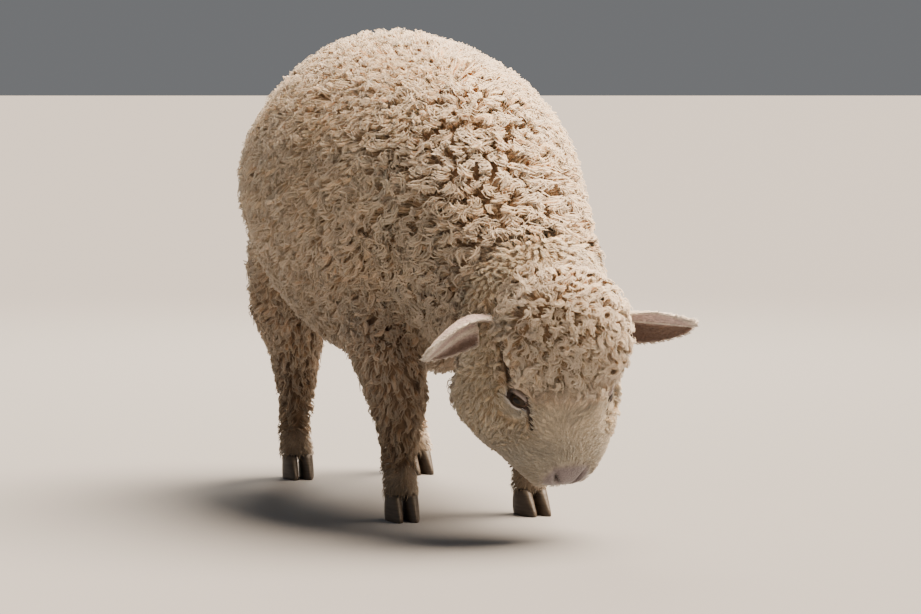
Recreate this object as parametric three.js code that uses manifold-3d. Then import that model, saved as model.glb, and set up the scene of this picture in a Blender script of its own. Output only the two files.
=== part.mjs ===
// A young long-wooled sheep, grazing: standing square, with its neck lowered and its muzzle near the ground.
// It is drawn with its fleece on, so every surface is the outline that the tips of the wool reach.
// The whole animal is lofted and joined into one solid, and thin flat cuts then part it into head, neck,
// trunk and legs. The tail, the ears, the eyes and the hooves are pieces of their own, set into it.
//
// Units are millimetres. The sheep faces -Y, its left side is +X, and +Z is up.
import * as THREE from "three";
import { mergeVertices } from "three/addons/utils/BufferGeometryUtils.js";
import Module from "manifold-3d";

const wasm = await Module();
wasm.setup();

// ---- Driving dimensions ---------------------------------------------------------------------------------

const GAP = 0.4; // left between pieces that touch
const LEG_SPREAD = 88; // from the middle plane to the middle of each foot
const FORE_FOOT_Y = -170;
const HIND_FOOT_Y = 303;
const FOOT_TURN = 5; // degrees that each foot points outwards

const POLL = new THREE.Vector3(27, -392, 298); // where the head hangs from the neck
const HEAD_PITCH = 86; // degrees that the head points below the horizon
const HEAD_YAW = 9; // degrees that the head is turned to the sheep's left
const HEAD_LEAN = -1; // degrees that the muzzle leans to the sheep's right

// These places are in the head's own frame, which is described with the head below.
const TOPKNOT_SIZE = [93, 84, 57]; // half sizes: across, along the head and out from the forehead
const TOPKNOT_AT = [0, -46, 35];
const EYE_RADIUS = 13.5;
const EYE_AT = [56, -122, 21]; // the left eye
const EYE_FACES = [0.8, -0.1, 0.59]; // the way the left eye looks
const EYE_BOWL = 23; // radius of the hollow in the wool around the eye
const EAR_AT = [74, -38, 14]; // the root of the left ear
const EAR_LENGTH = 105;
const EAR_THICKNESS = 7;

const HOOF_HEIGHT = 34;
const CLAW_SPACING = 11; // from the middle of the foot to the middle of each claw

// The planes that part the animal: a point on each, and the way that it faces. A leg lies under a plane that
// climbs outwards, and backwards too behind the belly. Its point and its facing are those of the left leg.
const NECK_CUT = { at: [0, -246, 350], facing: [0.06, -0.93, -0.36] };
const HEAD_CUT = { at: [24, -352, 292], facing: [0.16, -0.92, -0.36] };
const LEG_CUTS = {
  fore: { front: -262, back: 60, at: [30, -140, 175], facing: [0.36, 0, -1] },
  hind: { front: 60, back: 460, at: [30, 190, 195], facing: [0.36, 0.3, -1] },
};

const FLEECE = new THREE.MeshStandardMaterial({ color: 0xd9c3a5, roughness: 0.95, metalness: 0 });
const FACE = new THREE.MeshStandardMaterial({ color: 0xcfc4b2, roughness: 0.9, metalness: 0 });
const EAR_SKIN = new THREE.MeshStandardMaterial({ color: 0xc9b7ad, roughness: 0.85, metalness: 0 });
const EYE_GLOSS = new THREE.MeshStandardMaterial({ color: 0x1d1512, roughness: 0.08, metalness: 0 });
const HORN = new THREE.MeshStandardMaterial({ color: 0x3a332d, roughness: 0.6, metalness: 0 });

const { degToRad, lerp, smoothstep } = THREE.MathUtils;

// ---- Lofting --------------------------------------------------------------------------------------------

/** A point on the rim of a section. Its half sizes are x to the sides, y above and z below. */
function rimPoint(turn, size, square) {
  const c = Math.cos(turn);
  const s = Math.sin(turn);
  const across = Math.sign(c) * Math.abs(c) ** (2 / square) * size.x;
  const upright = Math.sign(s) * Math.abs(s) ** (2 / square) * (s > 0 ? size.y : size.z);
  return [across, upright];
}

/**
 * A closed body through stations. Each has at: its centre, side, up and down: its half sizes, and square:
 * 2 for an ellipse, more for a boxier section. Sections stand square to the line of centres, or to facing if
 * it is given. The two caps are how far the ends bulge.
 */
function loft(stations, { steps, around, startCap, endCap, capRings = 4, facing, grow = 0 }) {
  const centres = new THREE.CatmullRomCurve3(stations.map((s) => new THREE.Vector3(...s.at)));
  const sizes = new THREE.CatmullRomCurve3(stations.map((s) => new THREE.Vector3(s.side, s.up, s.down)));
  const sideways = new THREE.Vector3(1, 0, 0);
  const headingAt = (t) => facing ?? centres.getTangent(t);
  const upright = new THREE.Vector3().crossVectors(sideways, headingAt(0.5)).z < 0 ? -1 : 1;
  const rings = [];
  const addRing = (t, beyond, scale) => {
    const forward = headingAt(t);
    const across = sideways.clone().addScaledVector(forward, -sideways.dot(forward)).normalize();
    const up = new THREE.Vector3().crossVectors(across, forward).multiplyScalar(upright);
    const centre = centres.getPoint(t).addScaledVector(forward, beyond);
    const size = sizes.getPoint(t).addScalar(grow).multiplyScalar(scale);
    const span = t * (stations.length - 1);
    const near = Math.min(Math.floor(span), stations.length - 2);
    const square = lerp(stations[near].square ?? 2.1, stations[near + 1].square ?? 2.1, span - near);
    rings.push(Array.from({ length: around }, (_, i) => {
      const [a, b] = rimPoint((i / around) * 2 * Math.PI, size, square);
      return centre.clone().addScaledVector(across, a).addScaledVector(up, b);
    }));
  };
  const cap = (t, bulge, ring) => {
    const turn = (ring / capRings) * Math.PI / 2;
    addRing(t, bulge * Math.sin(turn), Math.max(Math.cos(turn), 0.05));
  };
  for (let ring = capRings; ring > 0; ring--) cap(0, -startCap - grow, ring);
  const count = (stations.length - 1) * steps;
  for (let i = 0; i <= count; i++) addRing(i / count, 0, 1);
  for (let ring = 1; ring <= capRings; ring++) cap(1, endCap + grow, ring);
  return closedThrough(rings);
}

/** The closed geometry through rings of points, with a flat fan over each end. */
function closedThrough(rings) {
  const around = rings[0].length;
  const middle = (ring) => ring.reduce((sum, p) => sum.add(p), new THREE.Vector3()).divideScalar(around);
  const points = [...rings.flat(), middle(rings[0]), middle(rings.at(-1))];
  const faces = [];
  const first = rings.length * around;
  const last = (rings.length - 1) * around;
  for (let i = 0; i < around; i++) {
    const j = (i + 1) % around;
    for (let row = 0; row < last; row += around) {
      faces.push(row + i, row + around + i, row + j, row + j, row + around + i, row + around + j);
    }
    faces.push(first, i, j, first + 1, last + j, last + i);
  }
  const geometry = new THREE.BufferGeometry().setFromPoints(points);
  geometry.setIndex(faces);
  return geometry;
}

// ---- Solids ---------------------------------------------------------------------------------------------

/** A three.js geometry as a manifold-3d solid, turned right side out. */
function solid(geometry) {
  const bare = new THREE.BufferGeometry().setAttribute("position", geometry.attributes.position);
  bare.setIndex(geometry.index);
  const merged = mergeVertices(bare, 1e-3);
  const triVerts = new Uint32Array(merged.index.array);
  const vertProperties = new Float32Array(merged.attributes.position.array);
  const build = () => new wasm.Manifold(new wasm.Mesh({ numProp: 3, vertProperties, triVerts }));
  const made = build();
  if (made.volume() > 0) return made;
  triVerts.reverse();
  return build();
}

/** The space a little way from a plane, on the side that it faces. side -1 is its other side. */
function beyond({ at, facing }, start = GAP / 2, side = 1) {
  const size = 2400;
  const normal = new THREE.Vector3(...facing).normalize().multiplyScalar(side);
  const middle = new THREE.Vector3(...at).addScaledVector(normal, size / 2 + start);
  const geometry = new THREE.BoxGeometry(size, size, size);
  geometry.applyQuaternion(new THREE.Quaternion().setFromUnitVectors(new THREE.Vector3(0, 0, 1), normal));
  return solid(geometry.translate(...middle.toArray()));
}

/** A body cut in two by a plane: first the part on the side that it faces, then the rest. */
const cutInTwo = (body, plane) => [1, -1].map((side) => body.intersect(beyond(plane, GAP / 2, side)));

/** A mesh of a solid's largest body. */
function meshOf(name, made, material) {
  const body = made.decompose().sort((a, b) => b.volume() - a.volume())[0];
  const { vertProperties, triVerts } = body.getMesh();
  const geometry = new THREE.BufferGeometry();
  geometry.setAttribute("position", new THREE.BufferAttribute(new Float32Array(vertProperties), 3));
  geometry.setIndex(new THREE.BufferAttribute(new Uint32Array(triVerts), 1));
  const mesh = new THREE.Mesh(geometry, material);
  mesh.name = name;
  return mesh;
}

// ---- Trunk, neck, tail and legs -------------------------------------------------------------------------

/** A trunk section from the heights of its back and its belly, and its half width. */
function trunkStation(y, back, belly, side, square = 2.05) {
  const level = belly + (back - belly) * 0.5;
  return { at: [0, y, level], side, up: back - level, down: level - belly, square };
}

const trunkLoft = (grow = 0) => loft([
  trunkStation(-236, 500, 236, 120),
  trunkStation(-190, 552, 205, 155),
  trunkStation(-110, 588, 181, 182),
  trunkStation(-10, 610, 172, 199),
  trunkStation(100, 627, 179, 207, 1.98),
  trunkStation(190, 634, 206, 203, 1.88),
  trunkStation(270, 612, 250, 182, 1.8),
  trunkStation(330, 560, 310, 142, 1.85),
], { around: 32, startCap: 40, endCap: 44, steps: 2, grow });

const neckLoft = () => loft([
  { at: [0, -130, 412], side: 150, up: 150, down: 176 },
  { at: [4, -200, 378], side: 146, up: 142, down: 158 },
  { at: [10, -270, 338], side: 124, up: 118, down: 136 },
  { at: [16, -330, 300], side: 108, up: 98, down: 122 },
  { at: [20, -374, 262], side: 98, up: 84, down: 110 },
], { around: 26, startCap: 30, endCap: 30, steps: 2, capRings: 3 });

const tailLoft = () => loft([
  { at: [0, 352, 520], side: 28, up: 28, down: 28 },
  { at: [0, 388, 484], side: 33, up: 27, down: 27 },
  { at: [0, 404, 420], side: 35, up: 25, down: 25 },
  { at: [0, 402, 340], side: 31, up: 22, down: 22 },
  { at: [0, 396, 276], side: 20, up: 15, down: 15 },
], { around: 14, startCap: 12, endCap: 22, steps: 2, capRings: 3 });

// Leg sections from the top down: outwards, backwards and upwards from the foot, then half width and depth.
const FORE_LEG = [
  [2, 56, 330, 60, 62],
  [12, 42, 265, 58, 62],
  [10, 26, 205, 50, 53],
  [4, 14, 160, 43, 45],
  [1, 10, 120, 33, 36],
  [0, 13, 84, 25, 28],
  [0, 10, 58, 22, 23],
  [0, 5, 38, 23.5, 18],
];
const HIND_LEG = [
  [-4, -52, 385, 84, 90],
  [12, -26, 300, 68, 86],
  [8, 5, 230, 54, 66],
  [-4, 28, 176, 40, 48],
  [-6, 31, 134, 31, 36],
  [-3, 25, 88, 25, 28],
  [0, 18, 60, 22, 23],
  [0, 5, 38, 23.5, 18],
];

/** A leg down to its hoof. side is 1 for a left leg and -1 for a right one. */
function legLoft(side, footY, sections) {
  const stations = sections.map(([out, back, z, wide, deep]) => (
    { at: [side * (LEG_SPREAD + out), footY + back, z], side: wide, up: deep, down: deep }));
  const facing = new THREE.Vector3(0, 0, -1);
  return loft(stations, { around: 14, startCap: 26, endCap: 4, steps: 2, capRings: 3, facing });
}

// ---- Head -----------------------------------------------------------------------------------------------
// In its own frame the head points along -Y with the forehead up, and its poll is at the origin.

const HEAD_SECTIONS = [
  { along: -8, level: 0, side: 76, up: 56, down: 72, square: 2.05 },
  { along: 28, level: -10, side: 90, up: 80, down: 92, square: 2.1 },
  { along: 64, level: -28, side: 98, up: 94, down: 101, square: 2.2 },
  { along: 96, level: -42, side: 104, up: 102, down: 102, square: 2.3 },
  { along: 120, level: -45, side: 105, up: 102, down: 97, square: 2.35 },
  { along: 144, level: -38, side: 98, up: 92, down: 86, square: 2.35 },
  { along: 170, level: -22, side: 83, up: 72, down: 70, square: 2.35 },
  { along: 194, level: -3, side: 63, up: 49, down: 54, square: 2.3 },
  { along: 214, level: 3, side: 46, up: 37, down: 39, square: 2.3 },
  { along: 226, level: 4, side: 34, up: 26, down: 28, square: 2.2 },
];

/** A geometry drawn in the head's own frame, moved to where the head is. */
function placeOnHead(geometry) {
  const turn = new THREE.Euler(degToRad(HEAD_PITCH), degToRad(HEAD_LEAN), degToRad(HEAD_YAW), "YZX");
  return geometry.applyMatrix4(new THREE.Matrix4().makeRotationFromEuler(turn).setPosition(POLL));
}

function headLoft() {
  const stations = HEAD_SECTIONS.map(({ along, level, ...size }) => ({ at: [0, -along, level], ...size }));
  const facing = new THREE.Vector3(0, -1, 0);
  return placeOnHead(loft(stations, { around: 26, startCap: 42, endCap: 7, steps: 2, capRings: 3, facing }));
}

/** The dome of curls over the forehead. */
function topknot() {
  const geometry = new THREE.SphereGeometry(1, 22, 14);
  geometry.scale(...TOPKNOT_SIZE);
  return placeOnHead(geometry.translate(...TOPKNOT_AT));
}

/** An eyeball; side is 1 for the left one and -1 for the right. */
function eyeBall(side, grow = 0) {
  const geometry = new THREE.SphereGeometry(EYE_RADIUS + grow, 12, 8);
  return placeOnHead(geometry.translate(side * EYE_AT[0], EYE_AT[1], EYE_AT[2]));
}

/** The hollow in the wool that an eye looks out of. */
function eyeBowl(side) {
  const away = new THREE.Vector3(...EYE_FACES).normalize().multiplyScalar(EYE_BOWL);
  const geometry = new THREE.SphereGeometry(EYE_BOWL, 12, 8);
  geometry.translate(side * (EYE_AT[0] + away.x), EYE_AT[1] + away.y, EYE_AT[2] + away.z);
  return placeOnHead(geometry);
}

// Ear sections from root to tip: how far along, as a share of its length, then half width and cupping.
const EAR_SECTIONS = [
  [-0.14, 14, 12],
  [0.02, 18, 20],
  [0.16, 23, 25],
  [0.34, 27, 25],
  [0.54, 26, 19],
  [0.74, 21, 13],
  [0.9, 14, 6],
  [1, 6, 2],
];
// Degrees: raised towards the poll, swept back and turned to face forwards. rolled is how far the sides
// curl, and arched is how far the root half bends up, in millimetres.
const EAR_POSES = {
  right: { raised: -14, swept: 4, turned: 50, rolled: 1.5, arched: 20 },
  left: { raised: -4, swept: -26, turned: 60, rolled: 1, arched: 0 },
};

/** An ear as a leaf of even thickness, cupped along its length. Its hollow faces down and forwards. */
function earLeaf(side, grow = 0) {
  const { raised, swept, turned, rolled, arched } = EAR_POSES[side > 0 ? "left" : "right"];
  const rows = 9;
  const arc = 6; // points across each of the two faces
  const lengths = new THREE.CatmullRomCurve3(EAR_SECTIONS.map((s) => new THREE.Vector3(...s)));
  const rings = [];
  for (let row = 0; row <= rows; row++) {
    const { x: along, y: halfWidth, z: cup } = lengths.getPoint(row / rows);
    const out = lerp(-0.14 * EAR_LENGTH - grow, EAR_LENGTH + grow, (along + 0.14) / 1.14);
    const half = EAR_THICKNESS / 2 * Math.min(1, 0.45 + 2.2 * (1 - along)) + grow;
    const arch = arched * Math.sin(Math.PI * Math.sqrt(Math.max(along, 0)));
    const ring = [];
    for (const face of [1, -1]) {
      for (let i = 0; i < arc; i++) {
        const v = face * (1 - (2 * (i + 0.5)) / arc);
        const bend = arch - cup * rolled * (v * v - 0.4);
        const edge = Math.sqrt(Math.max(0, 1 - v ** 4));
        ring.push(new THREE.Vector3(out, v * (halfWidth + grow), bend + face * half * (0.35 + 0.65 * edge)));
      }
    }
    rings.push(ring);
  }
  const geometry = closedThrough(rings);
  geometry.rotateX(degToRad(-90 - turned));
  geometry.rotateZ(degToRad(raised));
  geometry.rotateY(degToRad(swept));
  geometry.translate(...EAR_AT);
  if (side < 0) geometry.scale(-1, 1, 1);
  return placeOnHead(geometry);
}

// ---- Hooves ---------------------------------------------------------------------------------------------

// Claw sections from the sole up: height, toe, heel, and how far the outer and the inner wall stand out.
const CLAW_AROUND = 12;
const CLAW_SECTIONS = [
  [0, -34, 20, 11.2, 9.8],
  [4, -35, 22, 12.2, 10.2],
  [14, -28, 23.5, 11.8, 10.2],
  [24, -20, 22.5, 11, 10.1],
  [HOOF_HEIGHT, -12, 19, 9.6, 9.8],
];
const TOE_TAPER = { outer: 0.58, inner: 0.22 };

/** One claw of a foot. lean is 1 for the claw on the +X side of the foot, and -1 for the other. */
function claw(side, footY, lean) {
  const turns = Array.from({ length: CLAW_AROUND }, (_, i) => (i / CLAW_AROUND) * 2 * Math.PI);
  const rings = CLAW_SECTIONS.map(([z, toe, heel, outer, inner]) => turns.map((turn) => {
    const y = lerp(toe, heel, (1 + Math.sin(turn)) / 2);
    const isInner = Math.cos(turn) * lean < 0;
    const taper = 1 - (isInner ? TOE_TAPER.inner : TOE_TAPER.outer) * smoothstep(-y, -4, 36);
    const x = Math.sign(Math.cos(turn)) * Math.abs(Math.cos(turn)) ** 0.7 * (isInner ? inner : outer) * taper;
    return new THREE.Vector3(x + lean * CLAW_SPACING, y, z);
  }));
  const geometry = closedThrough(rings);
  geometry.rotateZ(degToRad(side * FOOT_TURN));
  return geometry.translate(side * LEG_SPREAD, footY, 0);
}

// ---- Assembly -------------------------------------------------------------------------------------------

const sheep = new THREE.Group();
const SIDES = { left: 1, right: -1 };
const FEET = { fore: [FORE_FOOT_Y, FORE_LEG], hind: [HIND_FOOT_Y, HIND_LEG] };

const flesh = [trunkLoft(), neckLoft(), headLoft(), topknot()];
for (const [footY, sections] of Object.values(FEET)) {
  for (const side of Object.values(SIDES)) flesh.push(legLoft(side, footY, sections));
}
let body = flesh.map(solid).reduce((joined, piece) => joined.add(piece));

// The ears stand in the wool, and the eyes look out of a hollow in it.
for (const [hand, side] of Object.entries(SIDES)) {
  sheep.add(meshOf("ear_" + hand, solid(earLeaf(side)).subtract(body), EAR_SKIN));
  sheep.add(meshOf("eye_" + hand, solid(eyeBall(side)), EYE_GLOSS));
  const spaces = [earLeaf(side, GAP), eyeBall(side, GAP), eyeBowl(side)];
  body = spaces.map(solid).reduce((left, space) => left.subtract(space), body);
}

/** The space that one leg lies in, which starts a little way below its cutting plane. */
function legSpace(end, side, start) {
  const { front, back, at: [x, y, z], facing: [out, rearward, up] } = LEG_CUTS[end];
  const corner = new THREE.BoxGeometry(400, back - front, 800);
  corner.translate(side * 208, (front + back) / 2, 300);
  const plane = { at: [side * x, y, z], facing: [side * out, rearward, up] };
  return solid(corner).intersect(beyond(plane, start));
}

let rest = body;
for (const [end, [footY]] of Object.entries(FEET)) {
  for (const [hand, side] of Object.entries(SIDES)) {
    sheep.add(meshOf(`${end}leg_${hand}`, body.intersect(legSpace(end, side, GAP / 2)), FLEECE));
    rest = rest.subtract(legSpace(end, side, -GAP / 2));
    for (const [place, lean] of [["outer", side], ["inner", -side]]) {
      sheep.add(meshOf(`hoof_${end}_${hand}_${place}`, solid(claw(side, footY, lean)), HORN));
    }
  }
}
const [front, trunk] = cutInTwo(rest, NECK_CUT);
const [head, neck] = cutInTwo(front, HEAD_CUT);
sheep.add(meshOf("head", head, FACE));
sheep.add(meshOf("neck", neck, FLEECE));
sheep.add(meshOf("trunk", trunk, FLEECE));
sheep.add(meshOf("tail", solid(tailLoft()).subtract(solid(trunkLoft(GAP))), FLEECE));

// The ground under the middle of the animal's box is the origin.
const box = new THREE.Box3().setFromObject(sheep);
sheep.position.set(-(box.min.x + box.max.x) / 2, -(box.min.y + box.max.y) / 2, -box.min.z);

export default sheep;
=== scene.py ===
"""A young long-wooled sheep, grazing, as a still life-size model.

One skin stands for all the flesh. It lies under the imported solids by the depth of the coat, and the coat is
solid wool over it: curled staples, each with finer strands around it. Sizes are metres unless they say
otherwise. The sheep faces -Y, its left side is +X, and +Z is up.
"""
import math
from contextlib import contextmanager

import bpy
import numpy as np
from mathutils import Matrix, Vector
from mathutils.kdtree import KDTree


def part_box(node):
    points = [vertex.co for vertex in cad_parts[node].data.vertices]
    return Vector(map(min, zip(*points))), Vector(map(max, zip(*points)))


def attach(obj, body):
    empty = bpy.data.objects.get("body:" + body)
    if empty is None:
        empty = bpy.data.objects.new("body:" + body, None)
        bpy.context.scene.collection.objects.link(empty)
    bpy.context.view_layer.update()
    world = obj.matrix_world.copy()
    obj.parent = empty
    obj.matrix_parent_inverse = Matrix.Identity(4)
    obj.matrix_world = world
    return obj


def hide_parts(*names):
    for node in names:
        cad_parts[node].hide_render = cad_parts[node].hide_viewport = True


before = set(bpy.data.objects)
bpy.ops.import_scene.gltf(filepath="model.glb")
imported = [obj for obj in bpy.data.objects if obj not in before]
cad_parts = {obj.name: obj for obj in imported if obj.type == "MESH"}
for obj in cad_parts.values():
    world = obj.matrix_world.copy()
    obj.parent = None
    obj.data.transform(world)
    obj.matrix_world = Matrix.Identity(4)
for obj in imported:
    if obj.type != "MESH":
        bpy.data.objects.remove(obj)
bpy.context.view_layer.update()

bl_info = {
    "name": "Grazing sheep",
    "version": (1, 0, 0),
    "blender": (4, 5, 0),
    "location": "3D View > Sidebar > Sheep",
    "description": "Builds the skin, fleece, eyes and hooves of a grazing sheep over its packed solids",
    "category": "Add Mesh",
}

SIDES = {"left": 1, "right": -1}
FLESH = ["head", "neck", "trunk", "tail"]
FLESH += [f"{end}leg_{hand}" for end in ("fore", "hind") for hand in SIDES]
FEET = [f"{end}_{hand}" for end in ("fore", "hind") for hand in SIDES]
CLAWS = [f"{foot}_{place}" for foot in FEET for place in ("outer", "inner")]


# ---- The head's own frame ------------------------------------------------------------------------------
# In it the head points along -Y with the forehead up, and the poll is at the origin.

HEAD_TURNS = (("Y", -1), ("Z", 9), ("X", 86))  # degrees: leaned, turned to its left, and lowered
EYE_ALONG = 0.122  # from the poll towards the muzzle
EYE_OUT = 0.021  # from the poll's level towards the forehead
EAR_ROOT = (0.074, -0.038, 0.014)
CROWN_AT = np.array([0, -0.046, 0.035])
CROWN_SIZE = np.array([0.093, 0.084, 0.057])
CHEEK_PLANE_AT = np.array([0.024, -0.3225, 0.292])  # where the head meets the neck
CHEEK_PLANE_FACING = np.array([0.16, -0.92, -0.36])

HEAD_TURN = Matrix.Identity(3)
for axis, degrees in HEAD_TURNS:
    HEAD_TURN = HEAD_TURN @ Matrix.Rotation(math.radians(degrees), 3, axis)


def middle_of(node):
    """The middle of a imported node's box."""
    low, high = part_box(node)
    return (low + high) / 2


EYES = {hand: middle_of("eye_" + hand) for hand in SIDES}
POLL = (EYES["left"] + EYES["right"]) / 2 - HEAD_TURN @ Vector((0, -EYE_ALONG, EYE_OUT))


def to_head(points):
    """Points of the shared frame, in the head's own."""
    return (points - np.array(POLL)) @ np.array(HEAD_TURN)


def from_head(points):
    """Points of the head's own frame, in the shared one."""
    return np.asarray(points) @ np.array(HEAD_TURN).T + np.array(POLL)


# ---- The eyes' own axes --------------------------------------------------------------------------------

EYE_RADIUS = 0.0135
EYE_FACING = (0.8, -0.1, 0.59)  # the way the left eye looks, in the head's own frame
EYE_SLANT = 29  # degrees that the opening slopes down towards the muzzle
EYE_HALF_LENGTH = 0.0150
EYE_HALF_HEIGHT = 0.0056
TEAR_LENGTH = 0.028
TEAR_INWARD = -0.10  # how far the left tear groove runs inwards, for each unit down the face
CREASE_INSET = 0.0020  # from a corner of the eye in to the start of its crease
CREASE_TAPER = 0.0018  # how much narrower a crease is at its end, on each side
CREASE_REACH = 0.012  # points deeper than this under a crease belong to the other side of the head
FAR_SIDE = 9  # what each unit past that depth adds to their distance from the crease
FRONTWARD = (0, 0, 0.45)  # added to the way an eye looks, to see its creases from in front of the face
FOLD_END = (EAR_ROOT[0] + 0.007, EAR_ROOT[1] - 0.012, EAR_ROOT[2] + 0.006)  # by the left ear


def eye_axes(hand):
    """The way an eye looks, the way from its outer to its inner corner, and the way to its brow."""
    side = SIDES[hand]
    looks = Vector((EYE_FACING[0] * side, EYE_FACING[1], EYE_FACING[2])).normalized()
    inward, down = Vector((-side, 0, 0)), Vector((0, -1, 0))
    inward = (inward - looks * inward.dot(looks)).normalized()
    down = (down - looks * down.dot(looks) - inward * down.dot(inward)).normalized()
    slant = math.radians(EYE_SLANT)
    corner = inward * math.cos(slant) + down * math.sin(slant)
    brow = inward * math.sin(slant) - down * math.cos(slant)
    return [HEAD_TURN @ axis for axis in (looks, corner, brow)]


def creases(hand):
    """Two lines beside an eye, each as its ends: the tear groove, and the fold that runs up to the ear."""
    side = SIDES[hand]
    _, corner, _ = eye_axes(hand)
    down = HEAD_TURN @ Vector((TEAR_INWARD * side, -1, 0))
    inner = EYES[hand] + corner * (EYE_HALF_LENGTH - CREASE_INSET)
    outer = EYES[hand] - corner * (EYE_HALF_LENGTH - CREASE_INSET)
    fold_end = POLL + HEAD_TURN @ Vector((FOLD_END[0] * side, FOLD_END[1], FOLD_END[2]))
    return (inner, inner + down * TEAR_LENGTH), (outer, fold_end)


def from_crease(points, line, hand):
    """How far points are from a crease, as seen from in front of the face, on that side of it."""
    looks = unit(np.array(eye_axes(hand)[0] + HEAD_TURN @ Vector(FRONTWARD)))
    start, end = np.array(line[0]), np.array(line[1])
    off = points - start
    height = off @ looks
    off, way = off - height[:, None] * looks, end - start
    way = way - looks * (way @ looks)
    share = np.clip(off @ way / (way @ way), 0, 1)
    away = np.linalg.norm(off - share[:, None] * way, axis=1)
    return away + CREASE_TAPER * share + FAR_SIDE * np.maximum(-CREASE_REACH - height, 0)


def from_creases(points):
    """How far points are from the nearest crease."""
    return np.min([from_crease(points, line, hand) for hand in SIDES for line in creases(hand)], axis=0)


def from_eyes(points):
    """How far points are from the middle of the nearer eyeball."""
    return np.min([np.linalg.norm(points - np.array(eye), axis=1) for eye in EYES.values()], axis=0)


# ---- Zones of the coat ---------------------------------------------------------------------------------

FORE_LEG_Y = -0.125
HIND_LEG_Y = 0.355
LEG_X = 0.088
EYE_CLEARING = 0.0215  # radius of the short hair around an eye
SHORT_DEPTH = 0.0025  # of the short hair on the face and the feet

# Where one kind of coat gives way to another, each as a start and an end for smooth. Along, across and out
# are on the head, in its own frame.
HEAD_START = (-0.012, 0.012)
MUZZLE_ALONG = (0.150, 0.198)
BRIDGE_ALONG = (0.112, 0.128)
BRIDGE_ACROSS = (0.056, 0.040)
BRIDGE_OUT = (-0.006, 0.010)
CROWN_REACH = (1.2, 1.02)
CROWN_OUT = (0.002, 0.016)
FOOT_TOP = (0.075, 0.055)
LEG_TOP = (0.27, 0.2)
LEG_AWAY = (0.095, 0.07)
NECK_Y = (-0.07, -0.2)
BACK_Z = (0.5, 0.58)
TAIL_X = (0.060, 0.045)
TAIL_Y = (0.397, 0.412)
TAIL_Z = (0.54, 0.50)

# What the wool is like in each zone. depth: from the skin to the tips. staple: from one curled staple to the
# next. strands: how many go with each. length and width: of a strand. curl: radius of its curl. turns: how
# many it makes. lift: how high it rises, as a share of depth. gather: how far the strands meet at the tip.
# open: how far the curl lies in the plane of the coat, where its loops show. The tail is as the legs are.
ZONES = {
    #          depth  staple strands length width   curl    turns lift gather open
    "flank":  (0.021, 0.0103, 3.3, 0.026, 0.0018, 0.0034, 1.45, 0.98, 0.46, 0.50),
    "neck":   (0.026, 0.0122, 5.0, 0.029, 0.0020, 0.0050, 1.65, 1.00, 0.42, 0.70),
    "back":   (0.020, 0.0103, 3.7, 0.023, 0.0018, 0.0032, 1.50, 1.02, 0.38, 0.60),
    "crown":  (0.019, 0.0087, 6.6, 0.020, 0.0013, 0.0036, 1.50, 1.05, 0.40, 0.85),
    "cheek":  (0.0075, 0.0068, 3.6, 0.0112, 0.0013, 0.0018, 1.20, 0.80, 0.34, 0.65),
    "leg":    (0.011, 0.0094, 3.8, 0.017, 0.0019, 0.0025, 1.20, 0.80, 0.40, 0.50),
}
TRAITS = ("depth", "staple", "strands", "length", "width", "curl", "turns", "lift", "gather", "open")
TABLE = np.array(list(ZONES.values()))


def smooth(start, end, value):
    """0 where value is at start, 1 where it is at end, and a soft step between them."""
    t = np.clip((value - start) / (end - start), 0, 1)
    return t * t * (3 - 2 * t)


def ripple(points, wavelength, seed):
    """Soft noise of about -1 to 1 with that wavelength."""
    rng = np.random.default_rng(seed)
    waves = rng.normal(size=(9, 3))
    waves /= np.linalg.norm(waves, axis=1)[:, None]
    waves *= rng.uniform(0.6, 1.5, (9, 1)) * 2 * np.pi / wavelength
    return np.sin(points @ waves.T + rng.uniform(0, 7, 9)).sum(1) / 3.2


def head_share(points):
    """1 on the head and 0 behind it."""
    return smooth(*HEAD_START, (points - CHEEK_PLANE_AT) @ CHEEK_PLANE_FACING)


def on_face(points):
    """How far points are across the head from its middle, along it to the muzzle, and out to the forehead."""
    head = to_head(points)
    return np.abs(head[:, 0]), -head[:, 1], head[:, 2]


def short_hair(points):
    """1 where only short hair grows: on the muzzle, the bridge of the nose, the feet and round the eyes."""
    across, along, out = on_face(points)
    on_head = head_share(points)
    muzzle = smooth(*MUZZLE_ALONG, along + 0.25 * np.maximum(out, 0) + 0.1 * (0.05 - across))
    bridge = smooth(*BRIDGE_ALONG, along) * smooth(*BRIDGE_ACROSS, across) * smooth(*BRIDGE_OUT, out)
    eye = smooth(EYE_CLEARING + 0.008, EYE_CLEARING, from_eyes(points))
    foot = smooth(*FOOT_TOP, points[:, 2]) * (1 - on_head)
    return np.maximum.reduce([muzzle * on_head, bridge * on_head, eye, foot])


def zone_shares(points):
    """How far each point belongs to each zone of ZONES: rows that add up to one."""
    x, y, z = points.T
    head = to_head(points)
    on_head = head_share(points)
    reach = np.linalg.norm((head - CROWN_AT) / CROWN_SIZE, axis=1)
    crown = on_head * smooth(*CROWN_REACH, reach) * smooth(*CROWN_OUT, head[:, 2])
    near_leg = 0
    for leg_y in (FORE_LEG_Y, HIND_LEG_Y):
        away = np.hypot(np.abs(x) - LEG_X, y - leg_y)
        near_leg = np.maximum(near_leg, smooth(*LEG_AWAY, away))
    tail = smooth(*TAIL_Y, y) * smooth(*TAIL_X, np.abs(x)) * smooth(*TAIL_Z, z)
    leg = np.maximum((1 - on_head) * near_leg * smooth(*LEG_TOP, z), tail)
    body = (1 - on_head) * (1 - leg)
    neck = body * smooth(*NECK_Y, y)
    back = body * smooth(*BACK_Z, z) * smooth(*NECK_Y[::-1], y)
    return np.stack([body - neck - back, neck, back, crown, on_head - crown, leg], axis=1)


def zone_share(points, *zones):
    """How far each point belongs to some of the zones."""
    return zone_shares(points)[:, [list(ZONES).index(zone) for zone in zones]].sum(1)


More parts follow.
